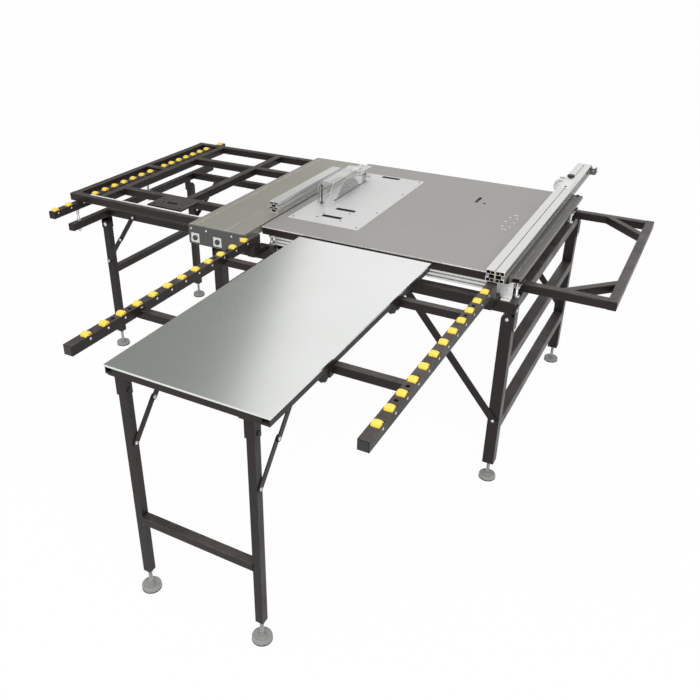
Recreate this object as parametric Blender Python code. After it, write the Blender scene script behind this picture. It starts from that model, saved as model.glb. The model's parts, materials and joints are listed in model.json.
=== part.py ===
# Multifunction woodworking table: saw bench with sliding table, outrigger, roller rack and extension table.
# Metres, +Z up. The layout is drawn from the floor point below the main table's front left corner,
# X to the right, Y to the back, and the root empty then centres the whole object on its footprint.
import math

import bmesh
import bpy
from mathutils import Matrix, Vector

for leftover in list(bpy.data.objects):
    bpy.data.objects.remove(leftover, do_unlink=True)

# Fits
SEAT_GAP = 0.0003            # between pieces that rest on or butt against each other
SLIDE_GAP = 0.0005           # beside a piece that turns or slides
PIN_PLAY = 0.0003            # around a pin in its bore
WELD_DEPTH = 0.001           # how far a welded or bolted-on detail runs into its carrier
CUT_MARGIN = 0.010           # how far a cutter runs past the faces it opens

# Main table
TABLE_HEIGHT = 0.800
TABLE_WIDTH = 0.915
TABLE_DEPTH = 0.912
PLATE_THICKNESS = 0.004
TABLE_TUBE = 0.030
TABLE_TUBE_HEIGHT = 0.025
SIDE_PROFILE_WIDTH = 0.038
SIDE_PROFILE_HEIGHT = 0.0244
SIDE_PROFILE_WALL = 0.006
PLATE_SLOT_PLACE = (0.599, 0.663)    # slot for an inverted tool, from the table's front left corner
PLATE_SLOT_LENGTH = 0.070
PLATE_SLOT_WIDTH = 0.012
PLATE_HOLE_PLACE = (0.632, 0.634)
PLATE_HOLE_RADIUS = 0.006
TOOL_RING_PLACE = (0.780, 0.475)     # ring of screw holes for a tool below the plate
TOOL_RING_WIDTH = 0.032
TOOL_RING_LENGTH = 0.170
TOOL_RING_HOLES = 10
TOOL_RING_HOLE_RADIUS = 0.0045
INSERT_LEFT = 0.031          # insert's left edge from the table's left edge
INSERT_FRONT = 0.128
INSERT_WIDTH = 0.293
INSERT_DEPTH = 0.655
INSERT_SLOT_OFFSETS = ((0.000, 0.082), (0.012, 0.174), (0.000, 0.633))   # from the middle, from the front
INSERT_SLOT_LENGTH = 0.080
INSERT_SLOT_WIDTH = 0.022

# Saw
BLADE_RADIUS = 0.125
BLADE_THICKNESS = 0.0024
BLADE_RISE = 0.060           # blade's top above the table
BLADE_INSET = 0.068          # blade plane from the insert's left edge
BLADE_SETBACK = 0.375        # arbor from the insert's front edge
BLADE_SLOT_WIDTH = 0.010
ARBOR_RADIUS = 0.010
ARBOR_END = 0.008            # free arbor end beyond the blade
MOTOR_RADIUS = 0.052
MOTOR_LENGTH = 0.165
MOTOR_MOUNT_LENGTH = 0.148
MOTOR_MOUNT_WIDTH = 0.080
KNIFE_THICKNESS = 0.0020
KNIFE_LENGTH = 0.035
KNIFE_GAP = 0.008            # blade rim to riving knife
KNIFE_RISE = 0.040
KNIFE_ROOT = 0.030           # riving knife below the table top
KNIFE_HOLDER = 0.016
GUARD_PIN_RADIUS = 0.003
GUARD_PIN_INSET = 0.017      # guard's pin from the riving knife's rear edge
GUARD_PIN_DROP = 0.0125      # and below its top
GUARD_LENGTH = 0.370
GUARD_WIDTH = 0.054
GUARD_NOSE = 0.040           # rounding of the guard's front
GUARD_WALL = 0.003
GUARD_TOP = 0.092            # guard's top above the table
GUARD_FOOT = 0.006           # guard's lower edge above the table
GUARD_STEP = 0.022           # how much lower the guard's rear part is

# Saw bench base
BASE_TUBE = 0.040
BASE_DROP = 0.087            # base frame's top below the table top
BASE_LEFT_REACH = 0.222      # base beyond the table's left edge
BASE_RIGHT_REACH = 0.032
BASE_FRONT_REACH = 0.008
BASE_BACK_REACH = 0.075
LEG_PIVOT_DROP = 0.0215      # leg pivot below the underside of the base frame
LEG_BRACKET_DEPTH = 0.062
LEG_BRACKET_PLATE = 0.004
LEG_PIN_RADIUS = 0.005
LEG_PIN_HEAD_RADIUS = 0.009
LEG_PIN_HEAD = 0.004
SIDE_RAIL_HEIGHTS = (0.235, 0.477)
BRACE_WIDTH = 0.026
BRACE_THICKNESS = 0.005
BRACE_REACH = 0.360          # brace's upper pivot from the leg's centre line
BRACE_FOOT_HEIGHT = 0.262
JACK_FRONT_INSET = 0.042     # front jack bolts from the table's front edge
JACK_BACK_INSET = 0.092      # rear jack bolts from the table's rear edge
JACK_EDGE = 0.012            # right jack bolts from the base frame's right face
JACK_RADIUS = 0.006
JACK_NUT_RADIUS = 0.011
JACK_NUT = 0.010
JACK_LUG = 0.040
JACK_LUG_THICKNESS = 0.004

# Levelling feet
FOOT_RADIUS = 0.030
FOOT_RIM = 0.013
FOOT_CROWN = 0.010
FOOT_STEM_RADIUS = 0.006
FOOT_STEM_GAP = 0.074        # leg's lower end above the floor
FOOT_CROWN_RADIUS = 0.026
FOOT_NECK_RADIUS = 0.0096

# Sliding table
SLIDE_GAP_TO_TABLE = 0.011
SLIDE_WIDTH = 0.240
SLIDE_LENGTH = 1.000
SLIDE_FRONT_REACH = 0.109
DECK_THICKNESS = 0.030
END_PLATE_DEPTH = 0.074
END_PLATE_THICKNESS = 0.008
SHAFT_RADIUS = 0.010
SHAFT_DROP = 0.048           # shaft axis below the table top
SHAFT_INSET = 0.030          # first shaft from the deck's left edge
SHAFT_SPACING = 0.098
SHAFT_BLOCK = 0.036
SHAFT_BLOCK_THICKNESS = 0.010
SHAFT_STUB = 0.004
BEARING_SPACING = 0.240
BEARING_LENGTH = 0.060
BEARING_OVERHANG = 0.028     # bearing block beyond the shafts
BEARING_TOP_GAP = 0.002      # deck above the bearing blocks
CROSSCUT_WIDTH = 0.040
CROSSCUT_HEIGHT = 0.044
CROSSCUT_LENGTH = 0.520
CROSSCUT_SETBACK = 0.250     # from the deck's front edge
CROSSCUT_INSET = 0.004       # from the deck's right edge
CROSSCUT_GROOVES = (0.012, 0.032)   # groove heights above the deck
GROOVE_WIDTH = 0.008
GROOVE_DEPTH = 0.009

# Outrigger on the sliding table's left side
OUTRIGGER_TUBE = 0.030
OUTRIGGER_REACH = 0.639      # from the deck's left edge to the outer beam's outer face
OUTRIGGER_SETBACK = 0.057    # front beam from the deck's front edge
OUTRIGGER_DEPTH = 0.903
OUTRIGGER_INNER_GAP = 0.095  # between the outer and the inner beam
OUTRIGGER_CROSS_BEAMS = (0.153, 0.653)
OUTRIGGER_BRIDGE = 0.448     # short cross piece from the front beam's face
OUTRIGGER_GRID_BEAM = 0.450  # grid beam from the outer beam's outer face
OUTRIGGER_ROLLERS = 7        # on each of the two roller bars beside the outer beam
OUTRIGGER_ROLLER_MARGIN = 0.034   # end rollers from the bar's ends
SHELF_WIDTH = 0.165
SHELF_OVERHANG = 0.085       # shelf beyond the grid beam's left face
SHELF_DEPTH = 0.110
SHELF_THICKNESS = 0.006
SHELF_SLOT_LENGTH = 0.050
SHELF_SLOT_WIDTH = 0.018

# Rollers
ROLLER_RADIUS = 0.015
ROLLER_WIDTH = 0.024
ROLLER_RISE = 0.009          # roller's top above its bar
ROLLER_BAR = 0.030
ROLLER_AXLE_RADIUS = 0.003
ROLLER_SIDE_GAP = 0.0007
ROLLER_END_GAP = 0.0015

# Outrigger roller rail and its stand
RAIL_LENGTH = 1.190
RAIL_FRONT_REACH = 0.125     # rail's front end ahead of the outrigger's front beam
RAIL_ROLLERS = 17
RAIL_END_MARGIN = 0.022
STAND_TUBE = 0.030
STAND_DROP = 0.120           # stand's top below the table top
STAND_BAR_LENGTH = 0.985
STAND_BAR_SETBACK = 0.090    # support bar's front end behind the rail's front end
STAND_FRONT_BEAM = 0.227     # front beam's centre from the support bar's front end
STAND_BEAM_SPACING = 0.605
STAND_LEG_OFFSET = 0.020     # leg's centre line outside the support bar's
STAND_PIVOT_DROP = 0.045
STAND_BRACKET_DEPTH = 0.062
STAND_CROSSBAR_HEIGHT = 0.385
STAND_STAY_REACH = 0.164     # stay's upper pivot from the leg's centre line
STAND_STAY_DROP = 0.170      # stay's lower pivot below the leg's pivot
STAND_STAY_SHARE = 0.494     # upper link's share of the stay
RAIL_ROD_RADIUS = 0.005
RAIL_ROD_NUT_RADIUS = 0.009
RAIL_ROD_NUT = 0.007
RAIL_ROD_TAIL = 0.016
RAIL_ROD_INSET = 0.045       # rods from the support bar's ends

# Roller rack in front of the main table
RACK_LEFT = 0.008            # left bar's centre line from the table's left edge
RACK_RIGHT_INSET = 0.037     # right bar's centre line from the table's right edge
RACK_GAP = 0.050             # bars' rear ends ahead of the table's front edge
RACK_LENGTH = 0.935
RACK_ROLLERS = 12
RACK_FRONT_MARGIN = 0.072
RACK_REAR_MARGIN = 0.080
RACK_HOLES_AFTER = (2, 3, 9, 10)   # bolt holes between a roller, counted from the front, and the next
RACK_HOLE_RADIUS = 0.006
RACK_HOLE_DEPTH = 0.014
RACK_CROSS_TUBE = 0.025
RACK_CROSS_BARS = (0.205, 0.6445)  # centre lines from the bars' rear ends
RACK_FOOT_DEPTH = 0.012      # bracket's seat on the base frame
RACK_POST_DEPTH = 0.040
RACK_ARM_THICKNESS = 0.020

# Fence rail and rip fence
FENCE_RAIL_HEIGHT = 0.030
FENCE_RAIL_DEPTH = 0.030
FENCE_RAIL_REACH = 0.004     # rail's front face ahead of the table's front edge
FENCE_RAIL_LEFT_GAP = 0.029  # rail's left end from the rack's left bar
FENCE_RAIL_PAST_BAR = 0.002  # rail's right end past the middle of the rack's right bar
RAIL_FOOT_GAP = 0.004        # right foot beside the rack bracket
RAIL_FOOT_WIDTH = 0.030
RAIL_FOOT_PLATE = 0.006
FENCE_WIDTH = 0.060
FENCE_HEIGHT = 0.040
FENCE_LENGTH = 1.310
FENCE_FRONT_REACH = 0.072
FENCE_FROM_RIGHT = 0.003     # fence's right face beyond the plate's right edge
FENCE_SEAM_WIDTH = 0.003
FENCE_SEAM_DEPTH = 0.003
CARRIAGE_WIDTH = 0.030
CARRIAGE_SHIFT = 0.022       # front carriage left of the fence's middle
CARRIAGE_THICKNESS = 0.0165
HOOK_WIDTH = 0.050
HOOK_THICKNESS = 0.020
HOOK_DEPTH = 0.040
WHEEL_RADIUS = 0.030
WHEEL_THICKNESS = 0.016
WHEEL_PIN_RADIUS = 0.005
WHEEL_SETBACK = 1.160        # wheel from the fence's front end
WHEEL_DROP = 0.024           # wheel's axis below the table top
WHEEL_ARM = 0.006
KNOB_RADIUS = 0.014
KNOB_HEIGHT = 0.016
KNOB_STEM_RADIUS = 0.005
KNOB_FROM_WHEEL = 0.096      # fence's clamp knob ahead of the wheel
KNOB_INSET = 0.022           # from the fence's left face
CLAMP_WIDTH = 0.026
CLAMP_HEIGHT = 0.022
CLAMP_LENGTH = 0.045

# Extension table
EXTENSION_WIDTH = 0.494
EXTENSION_LENGTH = 0.999
EXTENSION_GAP = 0.024        # between the extension and the main table
EXTENSION_OFFSET = 0.162     # left edge from the rack's left bar's centre line
SHEET_THICKNESS = 0.0015
SHEET_LIP = 0.006
EXTENSION_TUBE = 0.025
TUBE_MOUTH = 0.019
TUBE_MOUTH_DEPTH = 0.030
EXTENSION_LEG_INSETS = (0.025, 0.420)   # leg centre lines from the top's left edge
EXTENSION_LEG_SETBACK = 0.038           # leg centre line from the top's front edge
EXTENSION_PIVOT_DROP = 0.058            # leg pivot below the frame
EXTENSION_BRACKET_DEPTH = 0.073
EXTENSION_BRACKET_PLATE = 0.0025
EXTENSION_CROSSBAR_HEIGHT = 0.277
EXTENSION_CROSSBAR = 0.030
EXTENSION_PIN_RADIUS = 0.004
EXTENSION_PIN_HEAD_RADIUS = 0.007
EXTENSION_PIN_HEAD = 0.003
EXTENSION_STAY_REACH = 0.173
EXTENSION_STAY_PIN_DROP = 0.028         # stay's upper pivot below the frame
EXTENSION_STAY_DROP = 0.170             # stay's lower pivot below the leg's pivot
EXTENSION_STAY_SHARE = 0.499
LINK_WIDTH = 0.020
LINK_THICKNESS = 0.0035
EAR_THICKNESS = 0.004
STAY_PIN_RADIUS = 0.003
RACK_CLAMP_WIDTH = 0.020
RACK_CLAMP_DEPTH = 0.028
RACK_CLAMP_STEM = 0.030
CLAMP_KNOB = 0.013

# Right support frame
SUPPORT_TUBE = 0.030
SUPPORT_DROP = 0.050         # frame's top below the table top
SUPPORT_REACH = 0.290        # beyond the base frame's right face
SUPPORT_FRONT = 0.075        # front arm's face from the table's front edge
SUPPORT_SPAN = 0.812
SUPPORT_BRACE_REACH = 0.155
SUPPORT_BRACE_WIDTH = 0.026

ROUND_SIDES = 16
SMALL_ROUND_SIDES = 12
WHEEL_SIDES = 24
BLADE_SIDES = 48

# Levels, worked out from the top down
plate_bottom = TABLE_HEIGHT - PLATE_THICKNESS
frame_top = plate_bottom - SEAT_GAP
frame_bottom = frame_top - TABLE_TUBE_HEIGHT
base_top = TABLE_HEIGHT - BASE_DROP
base_bottom = base_top - BASE_TUBE
leg_pivot_z = base_bottom - LEG_PIVOT_DROP
deck_bottom = TABLE_HEIGHT - DECK_THICKNESS
shaft_z = TABLE_HEIGHT - SHAFT_DROP
outrigger_bottom = TABLE_HEIGHT - OUTRIGGER_TUBE
rail_top = outrigger_bottom - SEAT_GAP - ROLLER_RISE
rail_bottom = rail_top - ROLLER_BAR
stand_top = TABLE_HEIGHT - STAND_DROP
stand_bottom = stand_top - STAND_TUBE
stand_pivot_z = stand_bottom - STAND_PIVOT_DROP
rack_top = TABLE_HEIGHT - ROLLER_RISE
rack_bottom = rack_top - ROLLER_BAR
extension_frame_top = TABLE_HEIGHT - SHEET_THICKNESS - SEAT_GAP
extension_frame_bottom = extension_frame_top - EXTENSION_TUBE
cross_bar_top = extension_frame_bottom - SEAT_GAP
cross_bar_bottom = cross_bar_top - RACK_CROSS_TUBE
extension_pivot_z = extension_frame_bottom - EXTENSION_PIVOT_DROP
support_top = TABLE_HEIGHT - SUPPORT_DROP
support_bottom = support_top - SUPPORT_TUBE
fence_bottom = TABLE_HEIGHT + SEAT_GAP
fence_top = fence_bottom + FENCE_HEIGHT
fence_rail_top = frame_bottom - SEAT_GAP
fence_rail_bottom = fence_rail_top - FENCE_RAIL_HEIGHT

# Places across (X) and along (Y)
base_left = -BASE_LEFT_REACH
base_right = TABLE_WIDTH + BASE_RIGHT_REACH
base_front = -BASE_FRONT_REACH
base_back = TABLE_DEPTH + BASE_BACK_REACH
leg_half = BASE_TUBE / 2
right_leg_x = base_right - leg_half
left_leg_x = base_left + leg_half
front_leg_y = base_front + leg_half
back_leg_y = base_back - leg_half
jack_left_x = TABLE_TUBE / 2
jack_right_x = base_right - JACK_EDGE
jack_ys = (JACK_FRONT_INSET, TABLE_DEPTH - JACK_BACK_INSET)
deck_right = -SLIDE_GAP_TO_TABLE
deck_left = deck_right - SLIDE_WIDTH
deck_front = -SLIDE_FRONT_REACH
deck_back = deck_front + SLIDE_LENGTH
shaft_xs = (deck_left + SHAFT_INSET, deck_left + SHAFT_INSET + SHAFT_SPACING)
bearing_y = (deck_front + deck_back) / 2
bearing_ys = (bearing_y - BEARING_SPACING / 2, bearing_y + BEARING_SPACING / 2)
outrigger_right = deck_left - SEAT_GAP
outrigger_left = deck_left - OUTRIGGER_REACH
outrigger_front = deck_front + OUTRIGGER_SETBACK
outrigger_back = outrigger_front + OUTRIGGER_DEPTH
rail_x = outrigger_left + OUTRIGGER_TUBE / 2
rail_front = outrigger_front - RAIL_FRONT_REACH
rail_back = rail_front + RAIL_LENGTH
stand_bar_front = rail_front + STAND_BAR_SETBACK
stand_bar_back = stand_bar_front + STAND_BAR_LENGTH
rod_ys = (
    stand_bar_front + RAIL_ROD_INSET,
    (stand_bar_front + stand_bar_back) / 2,
    stand_bar_back - RAIL_ROD_INSET,
)
stand_leg_x = rail_x - STAND_LEG_OFFSET
stand_front_y = stand_bar_front + STAND_FRONT_BEAM
stand_back_y = stand_front_y + STAND_BEAM_SPACING
rack_xs = (RACK_LEFT, TABLE_WIDTH - RACK_RIGHT_INSET)
rack_back = -RACK_GAP
rack_front = rack_back - RACK_LENGTH
extension_left = RACK_LEFT + EXTENSION_OFFSET
extension_right = extension_left + EXTENSION_WIDTH
extension_back = -EXTENSION_GAP
extension_front = extension_back - EXTENSION_LENGTH
extension_leg_xs = tuple(extension_left + inset for inset in EXTENSION_LEG_INSETS)
extension_leg_y = extension_front + EXTENSION_LEG_SETBACK
fence_right = TABLE_WIDTH + FENCE_FROM_RIGHT
fence_left = fence_right - FENCE_WIDTH
fence_front = -FENCE_FRONT_REACH
fence_back = fence_front + FENCE_LENGTH
support_right = base_right + SUPPORT_REACH
support_back = SUPPORT_FRONT + SUPPORT_SPAN
insert_right = INSERT_LEFT + INSERT_WIDTH
insert_back = INSERT_FRONT + INSERT_DEPTH
blade_x = INSERT_LEFT + BLADE_INSET
blade_y = INSERT_FRONT + BLADE_SETBACK
blade_z = TABLE_HEIGHT + BLADE_RISE - BLADE_RADIUS
knife_y = blade_y + BLADE_RADIUS + KNIFE_GAP

FINISHES = {
    "dark paint": ((0.045, 0.036, 0.034), 0.45, 0.1),
    "table steel": ((0.38, 0.36, 0.34), 0.5, 0.6),
    "insert steel": ((0.64, 0.64, 0.63), 0.45, 0.5),
    "stainless": ((0.62, 0.63, 0.62), 0.28, 1.0),
    "deck aluminium": ((0.40, 0.39, 0.35), 0.45, 0.8),
    "bright aluminium": ((0.78, 0.79, 0.79), 0.35, 0.9),
    "yellow roller": ((0.95, 0.62, 0.06), 0.45, 0.0),
    "blade steel": ((0.55, 0.55, 0.56), 0.3, 1.0),
    "motor black": ((0.05, 0.05, 0.055), 0.5, 0.2),
    "clear guard": ((0.85, 0.88, 0.88), 0.1, 0.0),
    "white nylon": ((0.85, 0.85, 0.83), 0.4, 0.0),
}

# The object is centred on its footprint
root = bpy.data.objects.new("table_root", None)
root.location = (-(stand_leg_x - FOOT_RADIUS + support_right) / 2, -(extension_front + fence_back) / 2, 0.0)
bpy.context.scene.collection.objects.link(root)


def around(centre, width):
    return (centre - width / 2, centre + width / 2)


def shape_object(shape):
    mesh = bpy.data.meshes.new("shape")
    shape.to_mesh(mesh)
    shape.free()
    piece = bpy.data.objects.new("shape", mesh)
    bpy.context.scene.collection.objects.link(piece)
    return piece


def block(x, y, z, turn=0.0):
    # A box given by its three ranges, turned about its own vertical axis.
    shape = bmesh.new()
    bmesh.ops.create_cube(shape, size=1.0)
    for corner in shape.verts:
        corner.co = [span[side > 0] for span, side in zip((x, y, z), corner.co)]
    if turn:
        middle = Vector((sum(x) / 2, sum(y) / 2, sum(z) / 2))
        bmesh.ops.rotate(shape, cent=middle, matrix=Matrix.Rotation(turn, 3, "Z"), verts=shape.verts)
    return shape_object(shape)


def rod(axis, centre, span, radius, end_radius=None, sides=ROUND_SIDES):
    # A round bar along one axis; centre holds the other two coordinates in X, Y, Z order.
    turn = {"X": Matrix.Rotation(math.pi / 2, 4, "Y"), "Y": Matrix.Rotation(-math.pi / 2, 4, "X"),
            "Z": Matrix.Identity(4)}[axis]
    middle = list(centre)
    middle.insert("XYZ".index(axis), sum(span) / 2)
    shape = bmesh.new()
    bmesh.ops.create_cone(
        shape, cap_ends=True, segments=sides, radius1=radius,
        radius2=radius if end_radius is None else end_radius, depth=span[1] - span[0],
        matrix=Matrix.Translation(middle) @ turn)
    index = "XYZ".index(axis)
    for corner in shape.verts:
        corner.co[index] = span[corner.co[index] > middle[index]]
    return shape_object(shape)


def flat_link(axis, start, end, width, span):
    # A flat bar with round ends from start to end, both given in the plane square to the axis.
    along = math.atan2(end[1] - start[1], end[0] - start[0])
    steps = SMALL_ROUND_SIDES // 2
    outline = []
    for middle, first in ((end, along - math.pi / 2), (start, along + math.pi / 2)):
        for step in range(steps + 1):
            angle = first + math.pi * step / steps
            outline.append((middle[0] + width / 2 * math.cos(angle), middle[1] + width / 2 * math.sin(angle)))
    shape = bmesh.new()
    corners = []
    for u, v in outline:
        spot = [u, v]
        spot.insert("XYZ".index(axis), span[0])
        corners.append(shape.verts.new(spot))
    face = shape.faces.new(corners)
    grown = bmesh.ops.extrude_face_region(shape, geom=[face])
    step = Vector((0.0, 0.0, 0.0))
    step["XYZ".index(axis)] = span[1] - span[0]
    bmesh.ops.translate(shape, vec=step, verts=[v for v in grown["geom"] if isinstance(v, bmesh.types.BMVert)])
    bmesh.ops.recalc_face_normals(shape, faces=shape.faces)
    return shape_object(shape)


def weld(solids, cuts=(), inserts=()):
    # One body: the solids joined, the cuts taken out, then the inserts joined on.
    body = solids[0]
    helpers = list(solids[1:]) + list(cuts) + list(inserts)
    groups = []
    for operation, pieces in (("UNION", solids[1:]), ("DIFFERENCE", cuts), ("UNION", inserts)):
        if not pieces:
            continue
        group = bpy.data.collections.new("group")
        for piece in pieces:
            group.objects.link(piece)
        groups.append(group)
        boolean = body.modifiers.new(operation.lower(), "BOOLEAN")
        boolean.operation = operation
        boolean.operand_type = "COLLECTION"
        boolean.collection = group
    view = bpy.context.evaluated_depsgraph_get()
    mesh = bpy.data.meshes.new_from_object(body.evaluated_get(view))
    for piece in [body] + helpers:
        bpy.data.objects.remove(piece, do_unlink=True)
    for group in groups:
        bpy.data.collections.remove(group)
    return mesh


def make_material(name, finish):
    colour, roughness, metallic = FINISHES[finish]
    material = bpy.data.materials.new(name + "_" + finish.replace(" ", "_"))
    material.use_nodes = True
    shader = material.node_tree.nodes["Principled BSDF"]
    shader.inputs["Base Color"].default_value = (*colour, 1.0)
    shader.inputs["Roughness"].default_value = roughness
    shader.inputs["Metallic"].default_value = metallic
    return material


def node(name, mesh, finish, pivot=(0.0, 0.0, 0.0)):
    # The named piece, with its origin at the pivot that it turns about.
    mesh.name = name
    mesh.transform(Matrix.Translation(-Vector(pivot)))
    mesh.shade_smooth()
    mesh.set_sharp_from_angle(angle=math.radians(35.0))
    mesh.materials.clear()
    mesh.materials.append(make_material(name, finish))
    piece = bpy.data.objects.new(name, mesh)
    piece.location = pivot
    piece.parent = root
    bpy.context.scene.collection.objects.link(piece)
    return piece


def foot(x, y):
    # A levelling foot: rim, crown and stem, which runs up into the leg's lower end.
    return [
        rod("Z", (x, y), (0.0, FOOT_RIM), FOOT_RADIUS),
        rod("Z", (x, y), (FOOT_RIM - WELD_DEPTH, FOOT_RIM + FOOT_CROWN), FOOT_CROWN_RADIUS, FOOT_NECK_RADIUS),
        rod("Z", (x, y), (FOOT_RIM, FOOT_STEM_GAP + FOOT_STEM_RADIUS), FOOT_STEM_RADIUS,
            sides=SMALL_ROUND_SIDES),
    ]


def rounded_leg(axis, x, y, tube, pivot_z):
    # A square leg from above its foot to a round head about its fold axis.
    head_centre = (y, pivot_z) if axis == "X" else (x, pivot_z)
    head_span = around(x, tube) if axis == "X" else around(y, tube)
    return [
        block(around(x, tube), around(y, tube), (FOOT_STEM_GAP, pivot_z)),
        rod(axis, head_centre, head_span, tube / 2),
    ]


# Main table
def build_main_table():
    level = (frame_bottom, frame_top)
    tube = TABLE_TUBE
    lug_level = (frame_bottom, frame_bottom + JACK_LUG_THICKNESS)
    table_frame = weld(
        [block((0.0, TABLE_WIDTH), (0.0, tube), level),
         block((0.0, TABLE_WIDTH), (TABLE_DEPTH - tube, TABLE_DEPTH), level),
         block((0.0, tube), (0.0, TABLE_DEPTH), level),
         block((TABLE_WIDTH - tube, TABLE_WIDTH), (0.0, TABLE_DEPTH), level),
         block((0.0, INSERT_LEFT + tube / 2), (0.0, TABLE_DEPTH), level),
         block(around(insert_right, tube), (0.0, TABLE_DEPTH), level),
         block((0.0, insert_right), around(INSERT_FRONT, tube), level),
         block((0.0, insert_right), around(insert_back, tube), level)]
        + [block((TABLE_WIDTH - tube, jack_right_x + JACK_LUG / 2), around(y, JACK_LUG), lug_level)
           for y in jack_ys])
    node("table_frame", table_frame, "dark paint")

    through = (plate_bottom - CUT_MARGIN, TABLE_HEIGHT + CUT_MARGIN)
    slot_x, slot_y = PLATE_SLOT_PLACE
    slot_half = (PLATE_SLOT_LENGTH - PLATE_SLOT_WIDTH) / 2
    openings = [
        block((INSERT_LEFT, insert_right), (INSERT_FRONT, insert_back), through),
        flat_link("Z", (slot_x, slot_y - slot_half), (slot_x, slot_y + slot_half), PLATE_SLOT_WIDTH, through),
        rod("Z", PLATE_HOLE_PLACE, through, PLATE_HOLE_RADIUS, sides=SMALL_ROUND_SIDES),
    ]
    ring_x, ring_y = TOOL_RING_PLACE
    for index in range(TOOL_RING_HOLES):
        angle = 2 * math.pi * index / TOOL_RING_HOLES
        place = (ring_x + TOOL_RING_WIDTH / 2 * math.cos(angle),
                 ring_y + TOOL_RING_LENGTH / 2 * math.sin(angle))
        openings.append(rod("Z", place, through, TOOL_RING_HOLE_RADIUS, sides=8))
    plate = weld([block((0.0, TABLE_WIDTH), (0.0, TABLE_DEPTH), (plate_bottom, TABLE_HEIGHT))], openings)
    node("table_plate", plate, "table steel")

    slots = [block(around(blade_x, BLADE_SLOT_WIDTH),
                   (blade_y - BLADE_RADIUS, knife_y + KNIFE_LENGTH + KNIFE_GAP), through)]
    for across, setback in INSERT_SLOT_OFFSETS:
        slots.append(block(around(INSERT_LEFT + INSERT_WIDTH / 2 + across, INSERT_SLOT_LENGTH),
                           around(INSERT_FRONT + setback, INSERT_SLOT_WIDTH), through))
    insert = weld(
        [block((INSERT_LEFT + SLIDE_GAP, insert_right - SLIDE_GAP),
               (INSERT_FRONT + SLIDE_GAP, insert_back - SLIDE_GAP), (plate_bottom, TABLE_HEIGHT))], slots)
    node("insert_plate", insert, "insert steel")

    left = TABLE_WIDTH + SEAT_GAP
    right = left + SIDE_PROFILE_WIDTH
    wall = SIDE_PROFILE_WALL
    bottom = TABLE_HEIGHT - SIDE_PROFILE_HEIGHT
    depth = (0.0, TABLE_DEPTH)
    profile = weld(
        [block((left, right), depth, (TABLE_HEIGHT - wall, TABLE_HEIGHT)),
         block((left, left + wall), depth, (bottom, TABLE_HEIGHT)),
         block((right - wall, right), depth, (TABLE_HEIGHT - SIDE_PROFILE_HEIGHT / 2, TABLE_HEIGHT))])
    node("side_profile", profile, "deck aluminium")


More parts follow.
